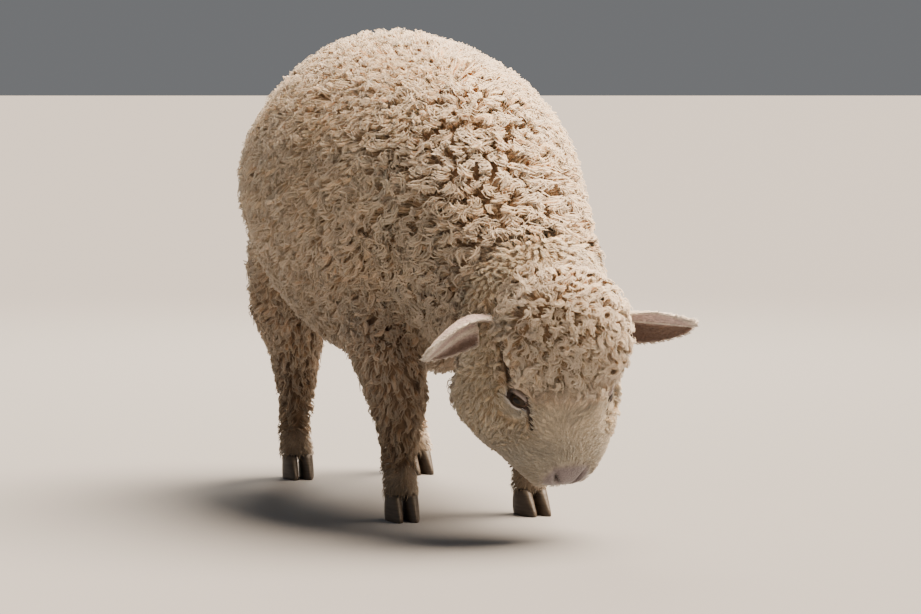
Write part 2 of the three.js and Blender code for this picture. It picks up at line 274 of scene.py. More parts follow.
def traits_at(points):
    """What the wool is like at each point, by name."""
    return dict(zip(TRAITS, (zone_shares(points) @ TABLE).T))


def coat_depth(points):
    """How far the skin lies under the tips of the coat."""
    short = short_hair(points)
    return traits_at(points)["depth"] * (1 - short) + SHORT_DEPTH * short


# ---- Muzzle --------------------------------------------------------------------------------------------
# Places and sizes on its end, in the head's own frame: along is from the poll, out is towards the forehead.

MUZZLE_END = (0.196, 0.208)  # along, as the next two
PAD_END = (0.200, 0.211)
MOUTH_END = (0.178, 0.190)
PAD_SIZE = (0.031, 0.022)  # half across and half up, of the bare leather
NOSTRIL_OUT = 0.022
NOSTRIL_ACROSS = 0.0130
NOSTRIL_SLANT = 0.60
NOSTRIL_SIZE = (0.0040, 0.0100)
NOSTRIL_DEPTH = 0.0110
MOUTH_OUT = -0.006
MOUTH_RISE = 0.10  # of the mouth's line, for each unit across
MOUTH_DEPTH = 0.0034
MOUTH_WIDTH = 0.0017
GROOVE_DEPTH = 0.0016  # of the groove between nose and lip
GROOVE_WIDTH = 0.0014
CREASE_CUTS = ((0.0030, 0.0022), (0.0025, 0.0030))  # depth and width of the tear groove, then of the fold


def ridge_of(off, width):
    """1 where off is zero, falling away softly within that width of it."""
    return np.exp(-(off / width) ** 2)


def nostril(points):
    """1 in the middle of a nostril's slanted slit, and 0 away from it."""
    across, along, out = on_face(points)
    off = across - NOSTRIL_ACROSS - NOSTRIL_SLANT * (out - NOSTRIL_OUT)
    slit = np.exp(-(off / NOSTRIL_SIZE[0]) ** 2 - ((out - NOSTRIL_OUT) / NOSTRIL_SIZE[1]) ** 2)
    return slit * head_share(points) * smooth(*MUZZLE_END, along)


def nose_share(points):
    """1 on the bare leather of the nose."""
    across, along, out = on_face(points)
    pad = smooth(1.15, 0.85, np.hypot(across / PAD_SIZE[0], (out - NOSTRIL_OUT) / PAD_SIZE[1]))
    return head_share(points) * smooth(*PAD_END, along) * pad


def carved(points):
    """How deep the nostrils, the mouth, the groove of the lip and the creases by the eyes are cut."""
    across, along, out = on_face(points)
    at_nose = head_share(points) * smooth(*MUZZLE_END, along)
    depth = NOSTRIL_DEPTH * nostril(points)
    at_mouth = head_share(points) * smooth(*MOUTH_END, along)
    depth += MOUTH_DEPTH * ridge_of(out - MOUTH_OUT - MOUTH_RISE * across, MOUTH_WIDTH) * at_mouth
    lip = smooth(MOUTH_OUT, MOUTH_OUT + 0.004, out) * smooth(NOSTRIL_OUT, NOSTRIL_OUT - 0.008, out)
    depth += GROOVE_DEPTH * ridge_of(across, GROOVE_WIDTH) * lip * at_nose
    for hand in SIDES:
        for line, (deep, width) in zip(creases(hand), CREASE_CUTS):
            depth += deep * ridge_of(from_crease(points, line, hand), width)
    return depth


# ---- Colours -------------------------------------------------------------------------------------------

FOLD_OFF = 0.0062  # from the upper lid's edge to the fold above it
FOLD_WIDTH = 0.0013
# where the colours round an eye fade: the pale lid, the brow, and painted shade along the lids' edge
LID_FADES = {"lid": (0.0082, 0.0058), "brow": (0.0070, 0.0050), "edge": (0.0022, 0.0012)}
# where painted shade darkens the fleece low on the body
LOW_SHADE_Z = (0.50, 0.20)
SOCK_Z = (0.24, 0.06)
MUZZLE_FADE = (0.15, 0.19)  # along the head
PATCHES = 0.11  # from one yellower patch of the fleece to the next
CREASE_SHADE_FADES = ((0.95, 0.0054, 0.0028), (0.85, 0.0050, 0.0024))  # how dark the painted shade is and where: tear groove, fold


def blend(first, second, share):
    """Goes from first to second by each point's share."""
    return first + (second - first) * share[:, None]


def eye_colours(colour, points, hand):
    """Adds painted shade along the edges of the lids and in the fold over the eye, and the pale bare skin
    under the eye.
    """
    looks, corner, brow = (np.array(axis) for axis in eye_axes(hand))
    away = points - np.array(EYES[hand])
    along, up = away @ corner, away @ brow
    near = smooth(-0.002, 0.002, away @ looks) * smooth(0.0185, 0.0150, np.abs(along))
    opening = EYE_HALF_HEIGHT * np.maximum(1 - (along / EYE_HALF_LENGTH) ** 2, 0) ** 0.7
    off = np.abs(up) - opening
    below = near * smooth(0.001, -0.001, up)
    above = near - below
    colour = blend(colour, shade("lid"), below * smooth(*LID_FADES["lid"], off))
    colour = blend(colour, shade("brow"), above * smooth(*LID_FADES["brow"], off))
    # painted shade in the fold above the eye, and along the lids' edges, wider in the corners
    fold = above * ridge_of(off - FOLD_OFF, FOLD_WIDTH)
    corner_shade = 0.0022 * smooth(0.0085, 0.0125, np.abs(along))
    edge = near * smooth(*LID_FADES["edge"], off - corner_shade)
    return blend(colour, shade("crease"), np.maximum(0.85 * fold, edge))


def markings(points):
    """The colour of the coat at each point, on the skin and the wool alike, with painted shade low on the
    body and on the legs, in the creases and in the nostrils.
    """
    z = points[:, 2]
    _, along, _ = on_face(points)
    on_head = head_share(points)
    crown = zone_share(points, "crown")
    patches = 0.5 + 0.35 * ripple(points, PATCHES, 5)
    colour = blend(shade("cream") + np.zeros_like(points), shade("warm"), patches)
    # painted shade: the fleece darkens low on the body
    colour = blend(colour, shade("low_shade"), smooth(*LOW_SHADE_Z, z) * (1 - on_head) * 0.8)
    # the legs' own darker wool, deepened with painted shade
    colour = blend(colour, shade("sock"), smooth(*SOCK_Z, z) * (1 - on_head))
    colour = blend(colour, shade("pale"), on_head * (0.9 - 0.8 * crown))
    colour = blend(colour, shade("muzzle"), on_head * smooth(*MUZZLE_FADE, along))
    colour = blend(colour, shade("leather"), nose_share(points))
    # painted shade inside the nostrils
    colour = blend(colour, shade("crease"), smooth(0.25, 0.75, nostril(points)))
    for hand in SIDES:
        colour = eye_colours(colour, points, hand)
        # painted shade along the tear groove and the fold up to the ear
        dark = 0
        for line, (most, start, end) in zip(creases(hand), CREASE_SHADE_FADES):
            dark = np.maximum(dark, most * smooth(start, end, from_crease(points, line, hand)))
        colour = blend(colour, shade("crease"), dark)
    return np.clip(colour, 0, 1)


# ---- Small helpers -------------------------------------------------------------------------------------

DOUBLED = 1e-5  # corners nearer than this are one


def deselect():
    """Leaves nothing selected."""
    bpy.ops.object.select_all(action="DESELECT")


def only(piece):
    """Makes a piece the one that is selected and active."""
    deselect()
    piece.select_set(True)
    bpy.context.view_layer.objects.active = piece


@contextmanager
def editing(piece):
    """Edit mode on a piece, with all of it selected."""
    only(piece)
    bpy.ops.object.mode_set(mode="EDIT")
    bpy.ops.mesh.select_all(action="SELECT")
    yield
    bpy.ops.object.mode_set(mode="OBJECT")


def copy_of(node, name):
    """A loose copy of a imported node, with its doubled corners merged."""
    piece = bpy.data.objects.new(name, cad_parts[node].data.copy())
    bpy.context.scene.collection.objects.link(piece)
    piece.data.materials.clear()
    with editing(piece):
        bpy.ops.mesh.remove_doubles(threshold=DOUBLED)
    return piece


def joined(pieces, name):
    """Several pieces as one object."""
    only(pieces[0])
    for piece in pieces:
        piece.select_set(True)
    bpy.ops.object.join()
    pieces[0].name = name
    pieces[0].data.name = name
    return pieces[0]


def modified(piece, kind, **settings):
    """Adds a modifier to a piece and applies it."""
    only(piece)
    modifier = piece.modifiers.new(kind.title(), kind)
    for key, value in settings.items():
        setattr(modifier, key, value)
    bpy.ops.object.modifier_apply(modifier=modifier.name)


def corners(mesh):
    """A mesh's vertices, as an array."""
    points = np.empty(len(mesh.vertices) * 3, np.float32)
    mesh.vertices.foreach_get("co", points)
    return points.reshape(-1, 3).astype(float)


def normals(mesh):
    """A mesh's vertex normals, as an array."""
    vectors = np.empty(len(mesh.vertices) * 3, np.float32)
    mesh.vertex_normals.foreach_get("vector", vectors)
    return vectors.reshape(-1, 3).astype(float)


def tree_of(places):
    """A tree that finds the nearest of some places."""
    tree = KDTree(len(places))
    for i, place in enumerate(places):
        tree.insert(place, i)
    tree.balance()
    return tree


def nearest(places, points):
    """How far each point is from the nearest of some places."""
    tree = tree_of(places)
    return np.array([tree.find(point)[2] for point in points])


def painted(mesh, name):
    """A colour that was painted on a mesh, as three numbers for each corner."""
    values = np.empty(len(mesh.vertices) * 4, np.float32)
    mesh.color_attributes[name].data.foreach_get("color", values)
    return values.reshape(-1, 4)[:, :3].astype(float)


def move_corners(mesh, points):
    """Gives a mesh's vertices new places."""
    mesh.vertices.foreach_set("co", points.astype(np.float32).ravel())
    mesh.update()


def unit(vectors):
    """Vectors of the same directions, each 1 long."""
    return vectors / np.maximum(np.linalg.norm(vectors, axis=-1, keepdims=True), 1e-9)


def paint(mesh, name, colours):
    """Stores a colour for each vertex."""
    layer = mesh.color_attributes.new(name, "FLOAT_COLOR", "POINT")
    rgba = np.ones((len(colours), 4), np.float32)
    rgba[:, :3] = colours
    layer.data.foreach_set("color", rgba.ravel())


def keep(piece, material):
    """Says which body a finished piece rides on, and what it is finished as."""
    piece.data.materials.clear()
    piece.data.materials.append(material)
    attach(piece, "root")


# ---- Materials -----------------------------------------------------------------------------------------

ROOT_SHADE_COLOUR = (0.72, 0.61, 0.50, 1)  # painted shade: what the roots of wool are darkened by
STAIN_COLOUR = (0.92, 0.82, 0.68, 1)  # and its stained patches
FIBRE_GAP_SHADE = (0.60, 0.48, 0.38, 1)  # and painted shade in the lines between its fibres
FLEECE_GAP_SHADE = (0.50, 0.43, 0.36, 1)  # and painted shade on the skin between the staples
DOWN_GAP_SHADE = (0.56, 0.50, 0.44, 1)  # and painted shade on the skin under the short wool of the cheeks
SOFT_GLOW = (1.0, 0.82, 0.66)  # of light that passes through wool


def node(tree, kind, inputs=(), **settings):
    """Adds a shader node. inputs maps a socket's name or number to a value or to another node's socket."""
    made = tree.nodes.new(kind)
    for key, value in settings.items():
        setattr(made, key, value)
    for key, value in dict(inputs).items():
        if isinstance(value, bpy.types.NodeSocket):
            tree.links.new(value, made.inputs[key])
        else:
            made.inputs[key].default_value = value
    return made


def new_material(name, **shader):
    """A material with only a Principled shader, whose uniform values are set on its own sockets."""
    material = bpy.data.materials.new(name)
    material.use_nodes = True
    tree = material.node_tree
    principled = tree.nodes["Principled BSDF"]
    for key, value in shader.items():
        principled.inputs[key.replace("_", " ")].default_value = value
    return material, tree, principled


def new_group(name, inputs, outputs):
    """A shader node group with named sockets, each given as its name and kind."""
    group = bpy.data.node_groups.new(name, "ShaderNodeTree")
    for way, sockets in (("INPUT", inputs), ("OUTPUT", outputs)):
        for label, kind in sockets:
            group.interface.new_socket(label, in_out=way, socket_type="NodeSocket" + kind)
    return group, group.nodes.new("NodeGroupInput"), group.nodes.new("NodeGroupOutput")


def mix(tree, way, factor, first, second):
    """A colour mix; returns its result."""
    made = node(tree, "ShaderNodeMix", data_type="RGBA", blend_type=way)
    for key, value in ((0, factor), (6, first), (7, second)):
        if isinstance(value, bpy.types.NodeSocket):
            tree.links.new(value, made.inputs[key])
        else:
            made.inputs[key].default_value = value
    return made.outputs[2]


def maths(tree, operation, *values, clamp=False):
    """A sum on numbers; returns its result."""
    made = node(tree, "ShaderNodeMath", dict(enumerate(values)), operation=operation, use_clamp=clamp)
    return made.outputs[0]


def wool_group():
    """The colour of a strand, from its marking, how far along it a point is, and its own tint, with painted
    shade towards its root.
    """
    group, given, result = new_group(
        "Wool strand",
        [("Marking", "Color"), ("Along", "Float"), ("Tint", "Float"), ("Root shade", "Float")],
        [("Color", "Color")],
    )
    marking, along, tint, shade = (given.outputs[key] for key in ("Marking", "Along", "Tint", "Root shade"))
    # painted shade: each strand darkens towards its root, deep in the coat
    root = mix(group, "MULTIPLY", 1.0, marking, ROOT_SHADE_COLOUR)
    risen = node(group, "ShaderNodeMapRange", {0: along, 1: 0.1, 2: 0.75}, interpolation_type="SMOOTHSTEP")
    lit = maths(group, "MULTIPLY", maths(group, "SUBTRACT", 1.0, risen.outputs[0]), shade)
    colour = mix(group, "MIX", lit, marking, root)
    spread = node(group, "ShaderNodeMapRange", {0: tint, 3: 0.80, 4: 1.14}).outputs[0]
    bright = node(group, "ShaderNodeCombineColor", {0: spread, 1: spread, 2: spread}).outputs[0]
    colour = mix(group, "MULTIPLY", 1.0, colour, bright)
    place = node(group, "ShaderNodeTexCoord").outputs["Object"]
    stain = node(group, "ShaderNodeTexNoise", {"Vector": place, "Scale": 17.0, "Detail": 3.0}).outputs[0]
    stained = node(group, "ShaderNodeMapRange", {0: stain, 1: 0.5, 2: 0.75, 4: 0.4}).outputs[0]
    colour = mix(group, "MULTIPLY", stained, colour, STAIN_COLOUR)
    group.links.new(colour, result.inputs["Color"])
    return group


def attribute(tree, name):
    """Reads what was painted on a mesh under that name."""
    return node(tree, "ShaderNodeAttribute", attribute_name=name, attribute_type="GEOMETRY")


def wool_material(name, group, root_shade, fibre, fibres):
    """Wool, with that many fibres round each strand, running along it, and painted shade in the lines between
    them. fibre is how strongly they show.
    """
    material, tree, principled = new_material(
        name, Roughness=0.85, Sheen_Weight=0.3, Sheen_Roughness=0.5, Sheen_Tint=(*SOFT_GLOW, 1),
        Specular_IOR_Level=0.15, Subsurface_Weight=0.6, Subsurface_Radius=SOFT_GLOW, Subsurface_Scale=0.006)
    coat = node(tree, "ShaderNodeSeparateColor", {0: attribute(tree, "Coat").outputs["Color"]})
    colour = node(tree, "ShaderNodeGroup", node_tree=group)
    tree.links.new(attribute(tree, "Marking").outputs["Color"], colour.inputs["Marking"])
    tree.links.new(coat.outputs[0], colour.inputs["Along"])
    tree.links.new(coat.outputs[1], colour.inputs["Tint"])
    colour.inputs["Root shade"].default_value = root_shade
    strand = node(tree, "ShaderNodeUVMap", uv_map="Strand").outputs[0]
    stretched = node(tree, "ShaderNodeMapping", {0: strand, 3: (fibres, 1.6, 1.0)}).outputs[0]
    lines = node(tree, "ShaderNodeTexNoise", {"Vector": stretched, "Scale": 1.0, "Detail": 2.0}).outputs[0]
    # painted shade in the lines between the fibres, as strong as fibre
    dark = node(tree, "ShaderNodeMapRange", {0: lines, 1: 0.4, 2: 0.56, 3: fibre, 4: 0.0}).outputs[0]
    lined = mix(tree, "MULTIPLY", dark, colour.outputs["Color"], FIBRE_GAP_SHADE)
    tree.links.new(lined, principled.inputs["Base Color"])
    bump = node(tree, "ShaderNodeBump", {"Strength": fibre, "Distance": 0.0015, "Height": lines})
    tree.links.new(bump.outputs[0], principled.inputs["Normal"])
    return material


def skin_material():
    """Skin, with short close hair on the face and feet, leather on the nose, and painted shade where it lies
    under the wool.
    """
    material, tree, principled = new_material(
        "Skin and short hair", Roughness=0.8, Sheen_Weight=0.25, Sheen_Roughness=0.5, Specular_IOR_Level=0.3)
    marking = attribute(tree, "Marking").outputs["Color"]
    zones = node(tree, "ShaderNodeSeparateColor", {0: attribute(tree, "Skin").outputs["Color"]})
    bare, leather, downy = zones.outputs[0], zones.outputs[1], zones.outputs[2]
    place = node(tree, "ShaderNodeTexCoord").outputs["Object"]
    # painted shade: the skin under the wool is darkened as the gaps of the coat are shaded
    under = mix(tree, "MIX", downy, FLEECE_GAP_SHADE, DOWN_GAP_SHADE)
    floor = mix(tree, "MULTIPLY", 1.0, marking, under)
    hair = node(tree, "ShaderNodeTexNoise", {"Vector": place, "Scale": 420.0, "Detail": 4.0}).outputs[0]
    speckle = node(tree, "ShaderNodeMapRange", {0: hair, 1: 0.3, 2: 0.7, 3: 0.72, 4: 1.1}).outputs[0]
    grey = node(tree, "ShaderNodeCombineColor", {0: speckle, 1: speckle, 2: speckle}).outputs[0]
    haired = mix(tree, "MULTIPLY", 1.0, marking, grey)
    tree.links.new(mix(tree, "MIX", bare, floor, haired), principled.inputs["Base Color"])
    pores = node(tree, "ShaderNodeTexVoronoi", {"Vector": place, "Scale": 520.0}).outputs["Distance"]
    height = node(tree, "ShaderNodeMix", {0: leather, 2: hair, 3: pores}, data_type="FLOAT").outputs[0]
    bump = node(tree, "ShaderNodeBump", {"Strength": 0.55, "Distance": 0.0012, "Height": height})
    tree.links.new(bump.outputs[0], principled.inputs["Normal"])
    wet = node(tree, "ShaderNodeMapRange", {0: leather, 3: 0.82, 4: 0.42}).outputs[0]
    tree.links.new(wet, principled.inputs["Roughness"])
    return material


# ---- Skin ----------------------------------------------------------------------------------------------

SWOLLEN = 0.0008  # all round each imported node, so that they overlap where they were cut apart
DRAWN_IN_STEPS = 4
EAR_PLUG = 0.022  # radius of a ball that fills the head out under an ear
EAR_PLUG_SUNK = 0.006
FINE_ALONG = 0.185  # from the poll, where the muzzle's small faces start
FINE_CREASE = 0.010  # and round the creases
CLAW_TOP = (0.05, 0.042)
CLAW_LAP = 0.005  # that the skin comes down over the claws

# Rows of a lid's faces: how far each is from the edge of the opening, and how far above the eyeball.
LID_AWAY = (0.0, 0.0004, 0.0014, 0.0030, 0.0046, 0.0062, 0.0082, 0.0105, 0.0135, 0.0165, 0.0190)
LID_OVER = (0.0002, 0.0010, 0.0017, 0.0020, 0.0020, 0.0010, 0.0, 0.0, 0.0, 0.0, 0.0)
LID_AROUND = 56  # faces round the opening
LID_GAP = 0.0006
LID_THICKNESS = 0.0009
LID_END = (0.0150, 0.0190)  # from the edge of the opening, where a lid goes under the face
LID_SUNK = 0.0040
FOLD_DEPTH = 0.0022
BROW_HEIGHT = 0.0030  # of the ridge above the fold
BROW_OFF = 0.0095  # from the edge of the opening
BROW_WIDTH = 0.0028


def refine(piece, wanted, cuts):
    """Divides the faces of a piece whose middles are wanted."""
    mesh = piece.data
    middles = np.empty(len(mesh.polygons) * 3, np.float32)
    mesh.polygons.foreach_get("center", middles)
    only(piece)
    bpy.ops.object.mode_set(mode="EDIT")
    bpy.ops.mesh.select_mode(type="FACE")
    bpy.ops.mesh.select_all(action="DESELECT")
    bpy.ops.object.mode_set(mode="OBJECT")
    mesh.polygons.foreach_set("select", wanted(middles.reshape(-1, 3).astype(float)))
    bpy.ops.object.mode_set(mode="EDIT")
    bpy.ops.mesh.subdivide(number_cuts=cuts)
    bpy.ops.object.mode_set(mode="OBJECT")


def fine_part(points):
    """Where the skin needs small faces: the muzzle, and around the eyes."""
    _, along, _ = on_face(points)
    return (head_share(points) > 0.5) & ((along > FINE_ALONG) | (from_creases(points) < FINE_CREASE))


def build_lids(hand, skin):
    """The two lids of an eye as one closed ring of skin, from the edge of the opening out into the face."""
    looks, corner, brow = (np.array(axis) for axis in eye_axes(hand))
    centre = np.array(EYES[hand])
    rows = len(LID_AWAY)
    bpy.ops.mesh.primitive_grid_add(x_subdivisions=LID_AROUND, y_subdivisions=rows - 1, size=2)
    lids = bpy.context.object
    lids.name = "skin_lids_" + hand
    grid = corners(lids.data)
    angle = (grid[:, 0] + 1) * math.pi
    row = np.rint((grid[:, 1] + 1) / 2 * (rows - 1)).astype(int)
    c, s = np.cos(angle), np.sin(angle)
    upper = smooth(-0.1, 0.5, s)
    edge_x = EYE_HALF_LENGTH * c
    edge_y = EYE_HALF_HEIGHT * np.sign(s) * np.abs(s) ** 1.35 * np.where(s > 0, 1.0, 0.92)
    theta = np.arctan2(edge_y, edge_x)
    away = np.array(LID_AWAY)[row]
    radius = np.hypot(edge_x, edge_y) + away
    ball = EYE_RADIUS + LID_GAP + np.array(LID_OVER)[row] + 0.0010 * upper * (row >= 2)
    on_ball = np.sqrt(np.maximum(ball ** 2 - np.minimum(radius, ball * 0.93) ** 2, 0))
    flat = centre + corner * (radius * np.cos(theta))[:, None] + brow * (radius * np.sin(theta))[:, None]
    height = np.zeros(len(grid))
    for i, point in enumerate(flat):
        hit, place, _, _ = skin.ray_cast(Vector(point + looks * 0.05), Vector(-looks), distance=0.09)
        if hit:
            height[i] = (np.array(place) - centre) @ looks
    share = smooth(0.0045, 0.0135, away)
    fold = FOLD_DEPTH * ridge_of(away - FOLD_OFF, FOLD_WIDTH) * upper
    ridge = BROW_HEIGHT * ridge_of(away - BROW_OFF, BROW_WIDTH) * upper
    level = on_ball * (1 - share) + (height + 0.0012) * share - fold + ridge
    level -= LID_SUNK * smooth(*LID_END, away)
    move_corners(lids.data, flat + looks * level[:, None])
    with editing(lids):
        bpy.ops.mesh.remove_doubles(threshold=DOUBLED)
        bpy.ops.mesh.normals_make_consistent(inside=False)
    if (normals(lids.data) @ looks).mean() < 0:
        with editing(lids):
            bpy.ops.mesh.flip_normals()
    lids.location = (0, 0, 0)
    modified(lids, "SOLIDIFY", thickness=LID_THICKNESS, offset=-1)
    modified(lids, "SUBSURF", levels=1, render_levels=1)
    return lids


def build_skin(voxel):
    """All the flesh as one closed skin, drawn in by the depth of the coat."""
    parts = [copy_of(name, "skin_" + name) for name in FLESH]
    parts += [copy_of("eye_" + hand, "skin_eye_" + hand) for hand in SIDES]
    for side in SIDES.values():
        root = from_head([[EAR_ROOT[0] * side, EAR_ROOT[1], EAR_ROOT[2] - EAR_PLUG_SUNK]])[0]
        bpy.ops.mesh.primitive_uv_sphere_add(segments=16, ring_count=10, radius=EAR_PLUG, location=root)
        parts.append(bpy.context.object)
    skin = joined(parts, "skin")
    with editing(skin):
        bpy.ops.transform.shrink_fatten(value=SWOLLEN)
    modified(skin, "REMESH", mode="VOXEL", voxel_size=voxel, use_smooth_shade=True)
    modified(skin, "SMOOTH", factor=0.5, iterations=6)
    mesh = skin.data
    depth = coat_depth(corners(mesh))
    for _ in range(DRAWN_IN_STEPS):
        move_corners(mesh, corners(mesh) - normals(mesh) * depth[:, None] / DRAWN_IN_STEPS)
        modified(skin, "SMOOTH", factor=0.35, iterations=1)
    refine(skin, fine_part, 2)
    modified(skin, "SMOOTH", factor=0.5, iterations=2)
    points = corners(mesh)
    points -= normals(mesh) * carved(points)[:, None]
    points[:, 2] -= CLAW_LAP * smooth(*CLAW_TOP, points[:, 2]) * (1 - head_share(points))
    move_corners(mesh, points)
    return skin


EAR_TURNED = {"left": 60, "right": 50}  # degrees that the hollow of an ear is turned to face forwards
EAR_RIM = 0.0030  # the width of its hairy rim
EAR_ROLLS = {"left": 0.0, "right": -0.58}  # across each ear, where its upper edge has rolled down to
EAR_ROLL_HEIGHT = 0.0042
EAR_HOLLOW_DEPTH = 0.0020


def ear_line(hand):
    """The root and the tip of an ear."""
    root = from_head([[EAR_ROOT[0] * SIDES[hand], EAR_ROOT[1], EAR_ROOT[2]]])[0]
    points = corners(bpy.data.objects["ear_" + hand].data)
    return root, points[np.linalg.norm(points - root, axis=1).argmax()]


def across_ear(points, hand, forward):
    """How far points are across an ear: 1 on its upper edge and -1 on its lower."""
    root, tip = ear_line(hand)
    along = unit(tip - root)
    upward = np.cross(forward, along)
    upward *= np.sign(upward[2])
    reach, height = (points - root) @ along, (points - root) @ upward
    steps = np.linspace(reach.min(), reach.max(), 14)
    near = [height[np.abs(reach - step) < 0.008] for step in steps]
    top = np.interp(reach, steps, [heights.max() for heights in near])
    low = np.interp(reach, steps, [heights.min() for heights in near])
    return (2 * height - top - low) / np.maximum(top - low, 1e-4)


def build_ears():
    """The two ears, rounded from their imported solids, each with its upper edge rolled over the hollow.

    A colour says where the ear is, where its pale hairy rim is, and where its hollow.
    """
    ears = []
    for hand in SIDES:
        ear = copy_of("ear_" + hand, "skin_ear_" + hand)
        modified(ear, "SUBSURF", levels=2, render_levels=2)
        mesh = ear.data
        points, outward = corners(mesh), normals(mesh)
        turn = math.radians(EAR_TURNED[hand])
        forward = np.array(HEAD_TURN @ Vector((0, -math.cos(turn), math.sin(turn))))
        facing = outward @ forward
        rim = nearest(points[np.abs(facing) < 0.25], points)
        across = across_ear(points, hand, forward)
        front = smooth(-0.1, 0.35, facing)
        rolled = across - EAR_ROLLS[hand]
        hollow = front * smooth(0.0006, 0.0034, rim) * smooth(0.10, -0.16, rolled)
        roll = front * smooth(-0.04, 0.25, rolled) * smooth(1.0, 0.6, across)
        lip = front * np.exp(-((rolled - 0.16) / 0.14) ** 2)
        rim = np.maximum(smooth(EAR_RIM, 0.0008, rim), lip) * (1 - hollow)
        move_corners(mesh, points + outward * (EAR_ROLL_HEIGHT * roll - EAR_HOLLOW_DEPTH * hollow)[:, None])
        paint(mesh, "Ear", np.stack([np.ones(len(points)), rim, hollow], axis=1))
        ears.append(ear)
    return ears


def ear_colours(ear):
    """The colours of an ear, from its notes: its back, its pale rim and its hollow, darkened with painted
    shade.
    """
    colours = blend(shade("ear_back") + np.zeros((len(ear), 3)), shade("ear_rim"), ear[:, 1])
    # painted shade in the hollow of the ear
    return blend(colours, shade("ear_hollow_shade"), ear[:, 2])


def unwrap(piece, name):
    """Unfolds a piece's own shape onto a map."""
    piece.data.uv_layers.new(name=name)
    with editing(piece):
        bpy.ops.uv.smart_project(angle_limit=math.radians(66), island_margin=0.001)


def finish_skin(skin):
    """Colours the skin, with what it needs to know of where it is bare, haired or leather."""
    mesh = skin.data
    points, ear = corners(mesh), painted(mesh, "Ear")
    on_ear = ear[:, 0] > 0.5
    colours = np.where(on_ear[:, None], ear_colours(ear), markings(points))
    haired = np.maximum(short_hair(points), on_ear)
    paint(mesh, "Marking", colours)
    paint(mesh, "Skin", np.stack([haired, nose_share(points) * ~on_ear, zone_share(points, "cheek")], axis=1))


# ---- Wool ----------------------------------------------------------------------------------------------

PATCH = 0.003  # of the map, for each strand
MOST_TRIANGLES = 185000  # in one piece of the coat
SWIRL = 0.45  # how far the lie of the coat swings to the sides
SWIRL_SIZE = 0.07
CANDIDATES = 5  # places tried for each staple
SPREAD = 0.86  # of the spacing, that staples keep from each other
SHORTER = 0.7  # how much less long, wide and curled wool is where it meets short hair
LEAN = 0.28  # of each staple to a side of the lie
STRAY = 0.42  # of each strand's end from its staple, in radii of the curl
WOBBLE = 0.16  # of each strand to the sides, in radii of the curl
WOBBLE_TURN = 9  # over its length
STRAND_SIDES = 3
FLATNESS = 0.8  # of a strand, away from the skin against along it

# How wide a core and a strand are: shares of their length, each with its share of the full width.
CORE_SHAPE = ((0, 0.75), (0.15, 1.0), (0.5, 0.95), (0.92, 0.55), (1, 0))
STRAND_SHAPE = ((0, 0.8), (0.2, 1.0), (0.6, 0.95), (0.92, 0.6), (1, 0))
CORE_REACH = (0.70, 0.85)  # how much of its staple's length a core has
CORE_LIFT = 0.85  # how high the cores rise, against the strands
CORE_SOFTNESS = 0.70
STRAND_SOFTNESS = 0.72
WOOL_EDGES = ((0.004, 0.007), (0.0035, 0.006))  # where wool starts beside the tear groove and the fold
CLEAR_CREASE = 0.0040  # that strands keep from a crease
CLEAR_LENGTH = 0.0200  # half of the bare place round an eye, along its opening
CLEAR_HEIGHT = 0.0112  # and across it
CLEAR_UP = 0.0015  # that this place is above the middle of the eye


def space_order(points, cell=0.004):
    """An order that keeps near points near each other."""
    steps = ((points - points.min(0)) / cell).astype(np.int64)
    code = np.zeros(len(points), np.int64)
    for bit in range(10):
        for axis in range(3):
            code |= ((steps[:, axis] >> bit) & 1) << (3 * bit + axis)
    return np.argsort(code, kind="stable")


def apart(points, gaps, seed):
    """A choice of points that are each no nearer to another than their gap."""
    tree = tree_of(points)
    free = np.ones(len(points), bool)
    chosen = []
    for i in np.random.default_rng(seed).permutation(len(points)):
        if free[i]:
            chosen.append(i)
            free[[near for _, near, _ in tree.find_range(points[i], gaps[i])]] = False
    return np.array(chosen)


def scatter(skin, density, seed):
    """Roots spread evenly over the skin. density gives how many grow to the square metre at points of it."""
    rng = np.random.default_rng(seed)
    mesh = skin.data
    mesh.calc_loop_triangles()
    count = len(mesh.loop_triangles)
    corner = np.empty(count * 3, np.int32)
    loop = np.empty(count * 3, np.int32)
    mesh.loop_triangles.foreach_get("vertices", corner)
    mesh.loop_triangles.foreach_get("loops", loop)
    corner, loop = corner.reshape(-1, 3), loop.reshape(-1, 3)
    flat = np.empty(len(mesh.loops) * 2, np.float32)
    mesh.uv_layers["OFBake"].data.foreach_get("uv", flat)
    points, outward, flat = corners(mesh), normals(mesh), flat.reshape(-1, 2).astype(float)
    a, b, c = points[corner].transpose(1, 0, 2)
    area = np.linalg.norm(np.cross(b - a, c - a), axis=1) / 2
    ear = painted(mesh, "Ear")
    on_ear = ear[corner, 0].max(axis=1) > 0.5
    order = space_order((a + b + c) / 3)
    wanted = np.cumsum((area * density((a + b + c) / 3, on_ear))[order])
    number = int(wanted[-1])
    draw = (np.arange(number) + rng.random(number)) * wanted[-1] / number
    face = order[np.minimum(np.searchsorted(wanted, draw), count - 1)]
    share = rng.random((number, 2))
    share = np.where(share.sum(1, keepdims=True) > 1, 1 - share, share)
    share = np.column_stack([1 - share.sum(1), share])[:, :, None]
    return {
        "point": (points[corner[face]] * share).sum(1),
        "outward": unit((outward[corner[face]] * share).sum(1)),
        "flat": (flat[loop[face]] * share).sum(1),
        "ear": (ear[corner[face]] * share).sum(1),
    }


